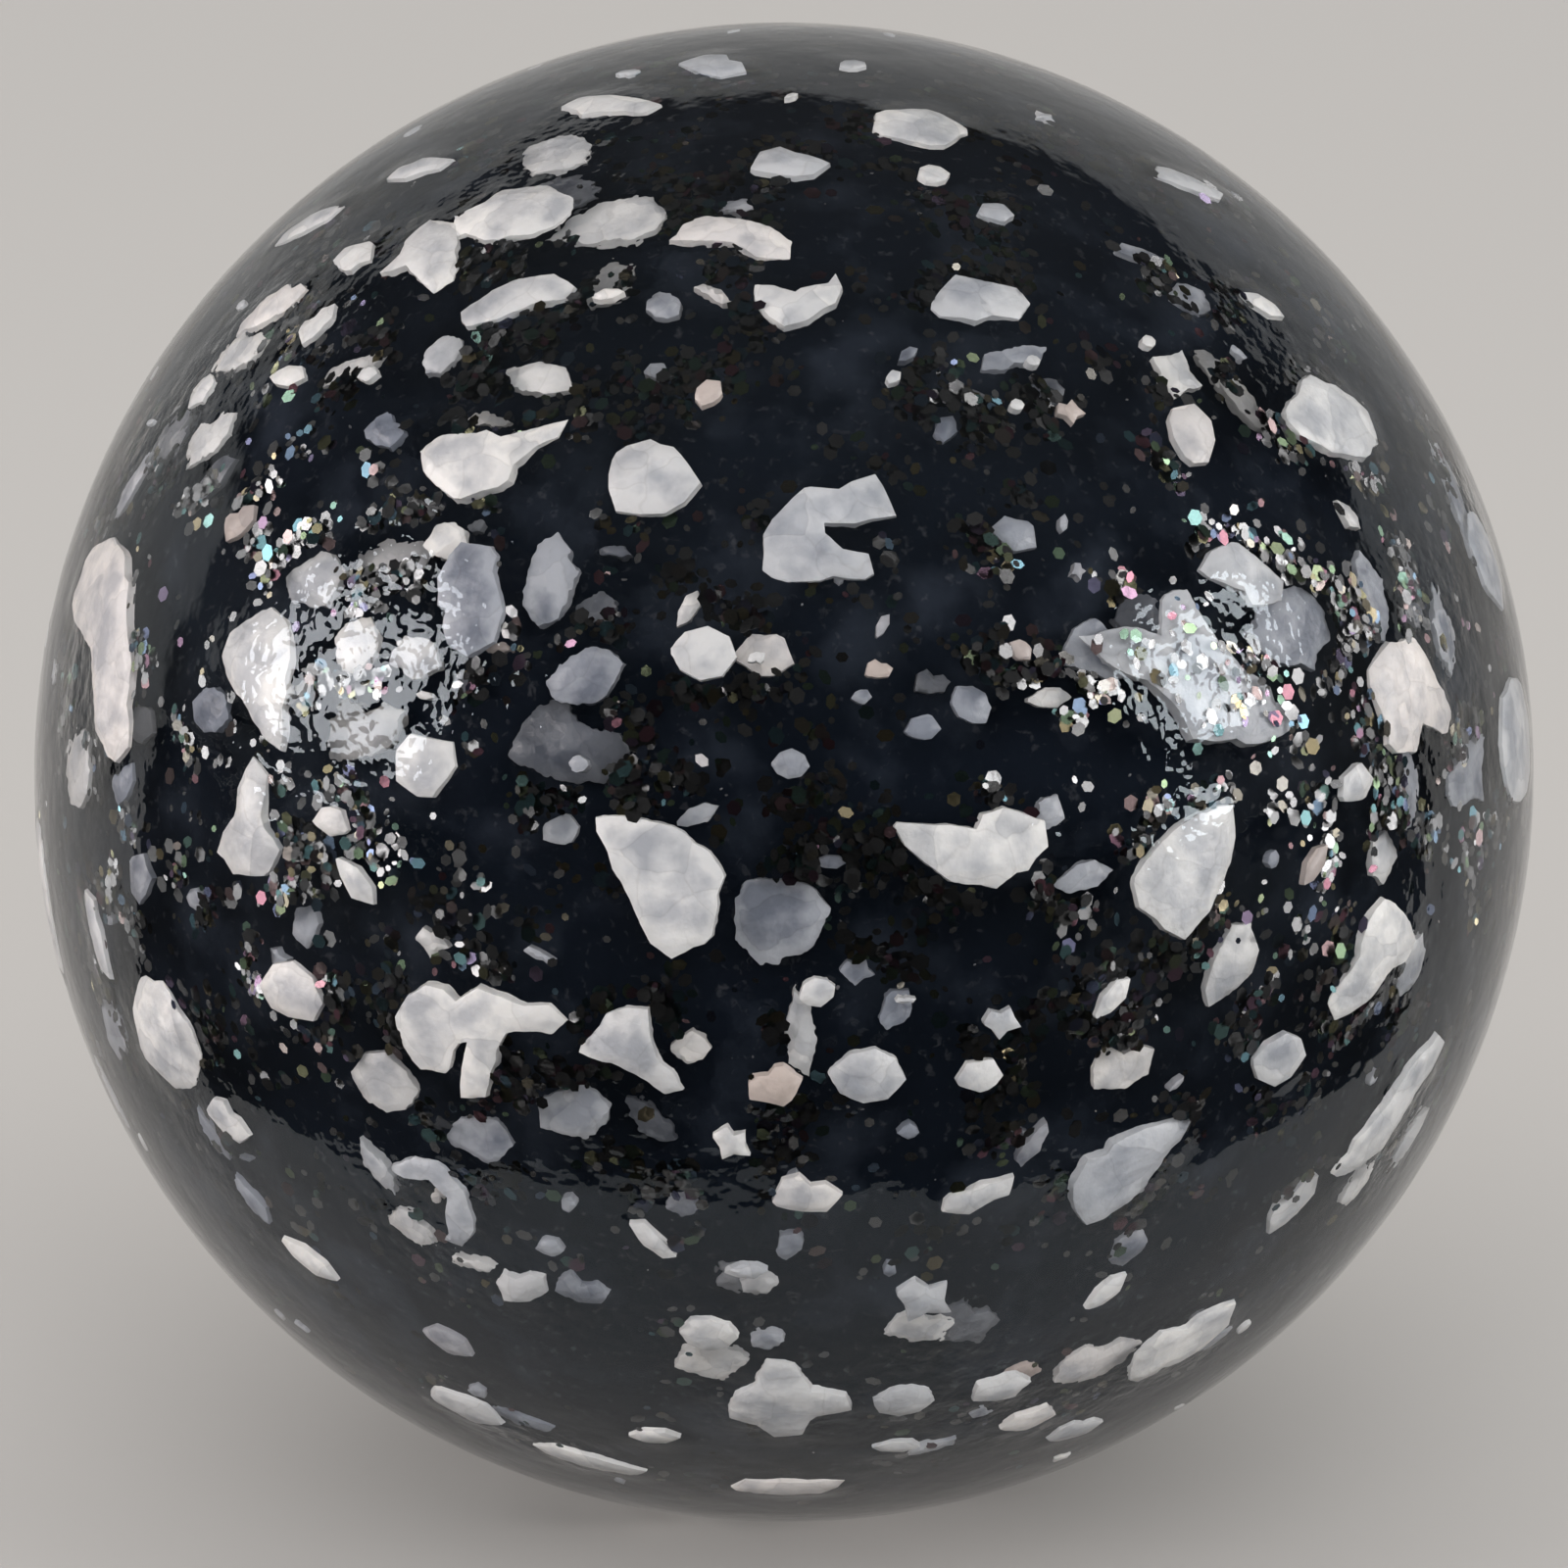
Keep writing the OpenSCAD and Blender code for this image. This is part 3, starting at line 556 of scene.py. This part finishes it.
def swept_ball(cells):
    """Directions and faces of a unit ball without poles: six square grids pushed out to the sphere."""
    index, directions, faces = {}, [], []

    def corner(axis, sign, i, j):
        u = math.tan(math.pi / 4 * (2 * i / cells - 1))
        v = math.tan(math.pi / 4 * (2 * j / cells - 1))
        point = [0.0, 0.0, 0.0]
        point[axis] = sign
        point[(axis + 1) % 3] = u
        point[(axis + 2) % 3] = v
        key = tuple(round(c * 1e5) for c in point)
        if key not in index:
            index[key] = len(directions)
            directions.append(Vector(point).normalized())
        return index[key]

    for axis in range(3):
        for sign in (1.0, -1.0):
            for i in range(cells):
                for j in range(cells):
                    quad = [corner(axis, sign, i, j), corner(axis, sign, i + 1, j),
                            corner(axis, sign, i + 1, j + 1), corner(axis, sign, i, j + 1)]
                    faces.append(quad if sign > 0 else quad[::-1])
    return directions, faces


def core_piece():
    """The black core, with the slightly uneven skin of a rough casting."""
    directions, faces = swept_ball(CORE_CELLS)
    corners = [d * (CORE_R + CORE_ROUGH * noise.noise(d * 9)) for d in directions]
    mesh = bpy.data.meshes.new("core")
    mesh.from_pydata(corners, [], faces)
    piece = new_piece("core", mesh, black_resin())
    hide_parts("black_core")


def flat_gap(directions, plate, margin):
    """Which directions pass a chip closely, and their distance from its edge, negative inside."""
    cosine = directions @ np.array(tuple(plate.out))
    near = np.nonzero(cosine > math.cos((plate.reach + margin) / BALL_R))[0]
    scale = plate.top / cosine[near]
    flat = np.stack([(directions[near] @ np.array(tuple(plate.east))) * scale,
                     (directions[near] @ np.array(tuple(plate.north))) * scale], axis=1)
    return near, edge_distance(flat, plate.outline)


def lies_high(plate):
    return BALL_R - plate.top_r < TOP_LAYER_DEPTH and plate.reach > 0.45 * MM


def skin_lift(directions, plates):
    """How far the skin stands up at each direction: a low mound over each chip near the surface."""
    lift = np.zeros(len(directions))
    for plate in filter(lies_high, plates):
        near, gap = flat_gap(directions, plate, 2 * SKIN_SHOULDER)
        t = np.clip((SKIN_SHOULDER - gap) / (1.6 * SKIN_SHOULDER), 0, 1)
        mound = SKIN_LIFT * min(1.0, plate.reach / (1.2 * MM)) * t * t * (3 - 2 * t)
        lift[near] = np.maximum(lift[near], mound)
    return lift


def crowding(directions, plates):
    """How crowded the chips under the skin are, from 0 to 1."""
    weight = np.zeros(len(directions))
    for plate in plates:
        if plate.reach < 0.6 * MM:
            continue
        apart = np.linalg.norm(directions - np.array(tuple(plate.out)), axis=1) * BALL_R
        weight += plate.reach / (1.5 * MM) * np.exp(-(apart / CROWD_REACH) ** 2)
    return 0.1 + 0.9 * np.clip((weight - 1.1) / 1.3, 0, 1)


def casing_piece(plates):
    """The clear casing: a polished outer skin with mounds over the chips, and an inner wall in the core."""
    directions, faces = swept_ball(CASING_CELLS)
    table = np.array([tuple(d) for d in directions])
    lift = skin_lift(table, plates)
    outer = []
    for d, up in zip(directions, lift):
        wave = SKIN_WAVE * noise.noise(d * 11)
        outer.append(d * (BALL_R - SKIN_SINK + up + wave))
    inner_directions, inner_faces = swept_ball(INNER_CELLS)
    inner = [d * (CORE_R - INNER_SINK) for d in inner_directions]
    shift = len(outer)
    inner_faces = [[shift + i for i in reversed(face)] for face in inner_faces]
    mesh = bpy.data.meshes.new("casing")
    mesh.from_pydata(outer + inner, [], faces + inner_faces)
    crowd = mesh.attributes.new("crowding", "FLOAT", "POINT")
    values = np.concatenate([crowding(table, plates), np.zeros(len(inner))])
    crowd.data.foreach_set("value", values.astype(np.float32))
    piece = new_piece("casing", mesh, clear_resin())
    piece.visible_shadow = False
    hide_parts("clear_casing")


# ---------------------------------------------------------------- scattered glitter and dust

ZONES = ("top", "bottom", "front", "left", "right", "back")


def zone_of(direction):
    latitude = math.degrees(math.asin(max(-1.0, min(1.0, direction.z))))
    longitude = math.degrees(math.atan2(direction.x, -direction.y))
    if latitude > 50:
        return "top"
    if latitude < -30:
        return "bottom"
    if abs(longitude) <= 25:
        return "front"
    if abs(longitude) > 90:
        return "back"
    return "left" if longitude < 0 else "right"


def room_for_flakes(directions, plates):
    """Where flakes gather: none on the chips, most along their edges, few in the open and few low down."""
    gap = np.full(len(directions), 9 * MM)
    for plate in plates:
        near, distance = flat_gap(directions, plate, 1.6 * MM)
        gap[near] = np.minimum(gap[near], distance)
    along_edge = np.clip(1.0 - (gap - FLAKE_CLEARANCE) / FLAKE_BAND, 0, 1)
    low_down = np.clip((directions[:, 2] - LOW_DOWN) / LOW_FADE, FLAKES_LOW_DOWN, 1.0)
    share = FLAKES_IN_OPEN + (1.0 - FLAKES_IN_OPEN) * along_edge
    return np.where(gap < FLAKE_CLEARANCE, 0.0, share) * low_down


def chip_faces(directions, plates):
    """1 on the faces of the chips that carry glitter of their own."""
    inside = np.zeros(len(directions))
    for plate in plates:
        if plate.name in GLITTERY_CHIPS:
            near, gap = flat_gap(directions, plate, 0.5 * MM)
            inside[near[gap < 0.0]] = 1.0
    return inside


def scatter_patches(plates, cells=120):
    """The ball's surface cut into its zones, as meshes to scatter on."""
    directions, faces = swept_ball(cells)
    table = np.array([tuple(d) for d in directions])
    room = room_for_flakes(table, plates)
    by_zone = {zone: [] for zone in ZONES}
    for face in faces:
        by_zone[zone_of(sum((directions[i] for i in face), Vector()).normalized())].append(face)
    patches = {}
    jobs = [(zone, kept, room) for zone, kept in by_zone.items()]
    jobs += [("all", faces, room), ("on_chips", faces, chip_faces(table, plates))]
    for zone, kept, share in jobs:
        mesh = bpy.data.meshes.new("patch")
        mesh.from_pydata([d * BALL_R for d in directions], [], kept)
        room_here = mesh.attributes.new("room", "FLOAT", "POINT")
        room_here.data.foreach_set("value", share.astype(np.float32))
        patches[zone] = mesh
    return patches


def scatter_tree(name, flake):
    """Geometry nodes: points over the patch, sunk to a random depth, each with a tilted flake or crumb."""
    tree = bpy.data.node_groups.new(name, "GeometryNodeTree")
    face = tree.interface
    face.new_socket("Geometry", in_out="INPUT", socket_type="NodeSocketGeometry")
    for label in ("Density", "Shallowest", "Deepest", "Smallest", "Largest", "Tilt", "Clumping"):
        face.new_socket(label, in_out="INPUT", socket_type="NodeSocketFloat")
    face.new_socket("Seed", in_out="INPUT", socket_type="NodeSocketInt")
    face.new_socket("Finish", in_out="INPUT", socket_type="NodeSocketMaterial")
    face.new_socket("Geometry", in_out="OUTPUT", socket_type="NodeSocketGeometry")
    link = tree.links.new
    given = node(tree, "NodeGroupInput")
    result = node(tree, "NodeGroupOutput")

    def random_value(low, high, seed_step):
        made = node(tree, "FunctionNodeRandomValue", data_type="FLOAT")
        sockets = [s for s in made.inputs if s.enabled]
        for socket, value in zip(sockets, (low, high)):
            feed(tree, socket, value)
        link(math_node(tree, "ADD", given.outputs["Seed"], seed_step), made.inputs["Seed"])
        return next(s for s in made.outputs if s.enabled)

    clumps = node(tree, "ShaderNodeTexNoise")
    clumps.inputs["Scale"].default_value = CLUMP_SCALE
    clumps.inputs["Detail"].default_value = 1.0
    between_clumps = math_node(tree, "SUBTRACT", 1.0, given.outputs["Clumping"])
    clumped = smooth_range(tree, clumps.outputs["Fac"], CLUMP_EDGE, (between_clumps, 1.0))
    points = node(tree, "GeometryNodeDistributePointsOnFaces")
    link(given.outputs["Geometry"], points.inputs["Mesh"])
    room = node(tree, "GeometryNodeInputNamedAttribute", data_type="FLOAT")
    room.inputs["Name"].default_value = "room"
    room_left = next(socket for socket in room.outputs if socket.enabled)
    share = math_node(tree, "MULTIPLY", clumped, room_left)
    link(math_node(tree, "MULTIPLY", given.outputs["Density"], share), points.inputs["Density"])
    link(given.outputs["Seed"], points.inputs["Seed"])

    depth = random_value(given.outputs["Shallowest"], given.outputs["Deepest"], 1)
    sink = math_node(tree, "DIVIDE", depth, -BALL_R)
    position = node(tree, "GeometryNodeInputPosition")
    offset = scaled(tree, position.outputs[0], sink)
    sunk = node(tree, "GeometryNodeSetPosition")
    link(points.outputs["Points"], sunk.inputs["Geometry"])
    link(offset, sunk.inputs["Offset"])

    if flake:
        grain = node(tree, "GeometryNodeMeshCylinder")
        grain.inputs["Vertices"].default_value = 6
        grain.inputs["Radius"].default_value = 0.5
        grain.inputs["Depth"].default_value = FLAKE_THICK / FLAKE_LARGE
    else:
        grain = node(tree, "GeometryNodeMeshIcoSphere")
        grain.inputs["Radius"].default_value = 0.5
        grain.inputs["Subdivisions"].default_value = 1

    rare = math_node(tree, "POWER", random_value(0.0, 1.0, 10), RARITY)
    tail = math_node(tree, "MULTIPLY_ADD", rare, RARE_TILT, USUAL_TILT)
    tilt = math_node(tree, "MULTIPLY", given.outputs["Tilt"], tail)
    drift = node(tree, "ShaderNodeTexNoise")
    drift.inputs["Scale"].default_value = LEAN_SCALE
    drift.inputs["Detail"].default_value = 1.0
    shared = node(tree, "ShaderNodeSeparateXYZ")
    link(drift.outputs["Color"], shared.inputs[0])
    lean = node(tree, "ShaderNodeCombineXYZ")
    for i, step in ((0, 2), (1, 4)):
        one = random_value(math_node(tree, "MULTIPLY", tilt, -1.0), tilt, step)
        two = random_value(math_node(tree, "MULTIPLY", tilt, -1.0), tilt, step + 1)
        centred = math_node(tree, "SUBTRACT", shared.outputs[i], 0.5)
        together = math_node(tree, "MULTIPLY", centred, CLUMP_TILT)
        alone = math_node(tree, "ADD", one, two)
        link(math_node(tree, "ADD", alone, together), lean.inputs[i])
    spin = node(tree, "ShaderNodeCombineXYZ")
    link(random_value(0.0, 2 * math.pi, 6), spin.inputs[2])
    turned = points.outputs["Rotation"]
    for angles in (lean, spin):
        rotation = node(tree, "FunctionNodeEulerToRotation")
        link(angles.outputs[0], rotation.inputs[0])
        turn = node(tree, "FunctionNodeRotateRotation", rotation_space="LOCAL")
        link(turned, turn.inputs[0])
        link(rotation.outputs[0], turn.inputs[1])
        turned = turn.outputs[0]

    size = random_value(0.0, 1.0, 7)
    eased = math_node(tree, "POWER", size, SMALLNESS)
    spread = math_node(tree, "SUBTRACT", given.outputs["Largest"], given.outputs["Smallest"])
    extra = math_node(tree, "MULTIPLY", eased, spread)
    width = math_node(tree, "ADD", given.outputs["Smallest"], extra)
    stretch = node(tree, "ShaderNodeCombineXYZ")
    link(width, stretch.inputs[0])
    link(math_node(tree, "MULTIPLY", width, random_value(NARROWEST, 1.0, 8)), stretch.inputs[1])
    link(math_node(tree, "MULTIPLY", width, 1.0 if flake else NARROWEST), stretch.inputs[2])
    placed = node(tree, "GeometryNodeInstanceOnPoints")
    link(sunk.outputs[0], placed.inputs["Points"])
    link(grain.outputs["Mesh"], placed.inputs["Instance"])
    link(turned, placed.inputs["Rotation"])
    link(stretch.outputs[0], placed.inputs["Scale"])
    tinted = node(tree, "GeometryNodeStoreNamedAttribute", data_type="FLOAT", domain="INSTANCE")
    tinted.inputs["Name"].default_value = "flake_tint"
    link(placed.outputs[0], tinted.inputs["Geometry"])
    link(random_value(0.0, 1.0, 9), tinted.inputs["Value"])
    real = node(tree, "GeometryNodeRealizeInstances")
    link(tinted.outputs[0], real.inputs["Geometry"])
    finished = node(tree, "GeometryNodeSetMaterial")
    link(real.outputs[0], finished.inputs["Geometry"])
    link(given.outputs["Finish"], finished.inputs["Material"])
    link(finished.outputs[0], result.inputs["Geometry"])
    return tree


def scattered(name, patch, tree, values, mat):
    """Runs the scatter tree on a patch and keeps the result as a plain mesh piece."""
    carrier = bpy.data.objects.new(name + "_carrier", patch)
    bpy.context.scene.collection.objects.link(carrier)
    modifier = carrier.modifiers.new("scatter", "NODES")
    modifier.node_group = tree
    for item in tree.interface.items_tree:
        if item.in_out == "INPUT" and item.name in values:
            modifier[item.identifier] = values[item.name]
    ready = carrier.evaluated_get(bpy.context.evaluated_depsgraph_get())
    mesh = bpy.data.meshes.new_from_object(ready)
    bpy.data.objects.remove(carrier)
    return new_piece(name, mesh, mat, smooth=False)


def glitter_pieces(patches):
    """The glitter between the chips, a piece for each zone, and the flakes on the glittery chips."""
    tree = scatter_tree("glitter_scatter", True)
    film = glitter_film()
    pieces = []
    for i, zone in enumerate(ZONES):
        values = {"Density": FLAKES_PER_MM2 / MM ** 2,
                  "Shallowest": FLAKE_DEPTHS[0], "Deepest": FLAKE_DEPTHS[1],
                  "Smallest": FLAKE_SMALL, "Largest": FLAKE_LARGE, "Tilt": FLAKE_TILT,
                  "Clumping": FLAKE_CLUMPING, "Seed": 20 + 31 * i, "Finish": film}
        piece = scattered("glitter_" + zone + "_flakes", patches[zone], tree, values, film)
        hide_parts("glitter_" + zone)
        pieces.append(piece)
    values.update({"Density": FLAKES_ON_CHIPS_PER_MM2 / MM ** 2,
                   "Shallowest": FLAKE_DEPTHS_ON_CHIPS[0], "Deepest": FLAKE_DEPTHS_ON_CHIPS[1],
                   "Clumping": FLAKE_CLUMPING_ON_CHIPS, "Seed": 3})
    on_chips = scattered("flakes_on_chips", patches["on_chips"], tree, values, film)
    return pieces + [on_chips]


def dust_piece(patches):
    tree = scatter_tree("dust_scatter", False)
    mat = dust_material()
    values = {"Density": DUST_PER_MM2 / MM ** 2, "Shallowest": DUST_DEPTHS[0], "Deepest": DUST_DEPTHS[1],
              "Smallest": DUST_SMALL, "Largest": DUST_LARGE, "Tilt": math.pi / 2,
              "Clumping": DUST_CLUMPING, "Seed": 5, "Finish": mat}
    piece = scattered("shell_dust", patches["all"], tree, values, mat)


# ---------------------------------------------------------------- studio

def stage_material(name, colour):
    mat, _, shader = material(name)
    shader.inputs["Base Color"].default_value = (*colour, 1.0)
    shader.inputs["Roughness"].default_value = 0.8
    return mat


def stage_mesh(name, corners, faces, mat):
    mesh = bpy.data.meshes.new(name)
    mesh.from_pydata(corners, [], faces)
    mesh.materials.append(mat)
    piece = bpy.data.objects.new(name, mesh)
    bpy.context.scene.collection.objects.link(piece)
    return piece


def studio_floor():
    size = 2.5
    z = -BALL_R - 0.05 * MM
    stage_mesh("floor", [(-size, -size, z), (size, -size, z), (size, size, z), (-size, size, z)],
               [(0, 1, 2, 3)], stage_material("pale_floor", (0.475, 0.46, 0.445)))


def black_flag():
    """A black card on the floor in front of the ball and beside it, seen only in reflections."""
    z = -BALL_R + 0.3 * MM
    edge = [(0, -48), (25, -38), (45, -18), (62, 2), (100, 25), (300, 100), (1500, 500)]
    rim = [(-x * MM, y * MM, z) for x, y in reversed(edge)] + [(x * MM, y * MM, z) for x, y in edge[1:]]
    corners = rim + [(2.4, -2.4, z), (-2.4, -2.4, z)]
    card = stage_mesh("black_flag", corners, [tuple(range(len(corners)))],
                      stage_material("flag_black", (0.01, 0.01, 0.01)))
    card.visible_camera = False
    card.visible_diffuse = False
    card.visible_shadow = False


def soft_light(name, direction, distance, width, height, watts, colour):
    """A rectangular softbox aimed at the ball."""
    data = bpy.data.lights.new(name, "AREA")
    data.shape = "RECTANGLE"
    data.size, data.size_y = width, height
    data.energy = watts
    data.color = colour
    lamp = bpy.data.objects.new(name, data)
    bpy.context.scene.collection.objects.link(lamp)
    lamp.location = Vector(direction).normalized() * distance
    lamp.rotation_mode = "QUATERNION"
    lamp.rotation_quaternion = (-lamp.location).to_track_quat("-Z", "Y")
    lamp.visible_camera = False
    return lamp


def soft_sun(name, direction, strength, spread):
    """Even soft light from one side, left out of reflections."""
    data = bpy.data.lights.new(name, "SUN")
    data.energy = strength
    data.angle = math.radians(spread)
    lamp = bpy.data.objects.new(name, data)
    bpy.context.scene.collection.objects.link(lamp)
    lamp.rotation_mode = "QUATERNION"
    lamp.rotation_quaternion = (-Vector(direction)).to_track_quat("-Z", "Y")
    lamp.visible_glossy = False
    lamp.visible_transmission = False


def studio_world():
    """A room that the polished ball sees as dark in front, dim above and beside, and pale behind."""
    world = bpy.data.worlds.new("studio")
    world.use_nodes = True
    bpy.context.scene.world = world
    tree = world.node_tree
    background = tree.nodes["Background"]
    where = node(tree, "ShaderNodeTexCoord")
    split = node(tree, "ShaderNodeSeparateXYZ")
    tree.links.new(where.outputs["Generated"], split.inputs[0])
    x, y, z = split.outputs
    aside = math_node(tree, "ABSOLUTE", x)
    clear_of_sides = math_node(tree, "SUBTRACT", y, math_node(tree, "MULTIPLY", aside, SIDE_SLOPE))
    clear_of_ceiling = math_node(tree, "SUBTRACT", math_node(tree, "MULTIPLY", y, CEILING_SLOPE), z)
    clear = math_node(tree, "MINIMUM", clear_of_sides, clear_of_ceiling)
    behind = smooth_range(tree, clear, (0.0, 0.10), (0.0, BEHIND_LEVEL))
    above = smooth_range(tree, z, (0.3, 1.0), (FRONT_LEVEL, CEILING_LEVEL))
    beside = smooth_range(tree, aside, (0.80, 1.0), (0.0, SIDE_LEVEL))
    strength = math_node(tree, "MAXIMUM", behind, math_node(tree, "MAXIMUM", above, beside))
    ray = node(tree, "ShaderNodeLightPath")
    for kind, level in (("Is Diffuse Ray", DIFFUSE_LEVEL), ("Is Camera Ray", CAMERA_LEVEL)):
        choice = node(tree, "ShaderNodeMix", data_type="FLOAT")
        tree.links.new(ray.outputs[kind], choice.inputs[0])
        tree.links.new(strength, choice.inputs[2])
        choice.inputs[3].default_value = level
        strength = choice.outputs[0]
    background.inputs["Color"].default_value = (1.0, 0.985, 0.965, 1)
    tree.links.new(strength, background.inputs["Strength"])


def studio_lights(glitter):
    """Two softboxes, each with a wider, brighter lamp for the glitter alone, and two soft suns."""
    lit_pieces = bpy.data.collections.new("glitter_receivers")
    for piece in glitter:
        lit_pieces.objects.link(piece)
    soft_light("left_softbox", (-0.90, -0.32, 0.29), distance=0.42, width=0.20, height=0.13,
               watts=0.66, colour=(1.0, 0.93, 0.91))
    soft_light("right_softbox", (0.88, -0.35, 0.29), distance=0.42, width=0.18, height=0.13,
               watts=0.60, colour=(1.0, 0.98, 0.96))
    for label, direction in (("left_lamp", (-0.90, -0.32, 0.27)), ("right_lamp", (0.88, -0.35, 0.27))):
        lamp = soft_light(label, direction, distance=0.41, width=0.28, height=0.22,
                          watts=16.0, colour=(1.0, 0.97, 0.95))
        lamp.light_linking.receiver_collection = lit_pieces
    soft_sun("front_fill", (0.0, -0.88, 0.47), strength=1.75, spread=50)
    soft_sun("overhead", (0.0, 0.35, 1.0), strength=0.3, spread=60)


def camera():
    data = bpy.data.cameras.new("camera")
    half = math.atan(math.tan(math.asin(1 / CAMERA_RADII)) / FRAME_FILL)
    data.sensor_width = SENSOR
    data.lens = SENSOR / 2 / math.tan(half)
    data.shift_y = FRAME_SHIFT
    data.clip_start, data.clip_end = 0.01, 20
    eye = bpy.data.objects.new("camera", data)
    bpy.context.scene.collection.objects.link(eye)
    back = Vector((0.0, -math.cos(CAMERA_RISE), math.sin(CAMERA_RISE)))
    eye.location = back * CAMERA_RADII * BALL_R
    eye.rotation_mode = "QUATERNION"
    eye.rotation_quaternion = (-back).to_track_quat("-Z", "Y")
    bpy.context.scene.camera = eye


# ---------------------------------------------------------------- build

camera()
# the last number of each shell is the darkest level of its painted depth shade
SHELL = {name: shell_material(name, light, dark, darkest) for name, light, dark, darkest in (
    ("white_shell", (0.88, 0.87, 0.86), (0.54, 0.55, 0.58), 0.22),
    ("grey_shell", (0.50, 0.52, 0.57), (0.22, 0.24, 0.29), 0.16),
    ("tan_shell", (0.66, 0.57, 0.53), (0.46, 0.39, 0.36), 0.22))}

all_plates = []
for part in frame["record"]["subparts"]:
    if part["material_slot"] in SHELL:
        all_plates += chip_piece(part["node"], SHELL[part["material_slot"]])
core_piece()
casing_piece(all_plates)
patches = scatter_patches(all_plates)
glitter = glitter_pieces(patches)
dust_piece(patches)
studio_floor()
black_flag()
studio_lights(glitter)
studio_world()
bpy.context.scene.view_settings.view_transform = "Standard"
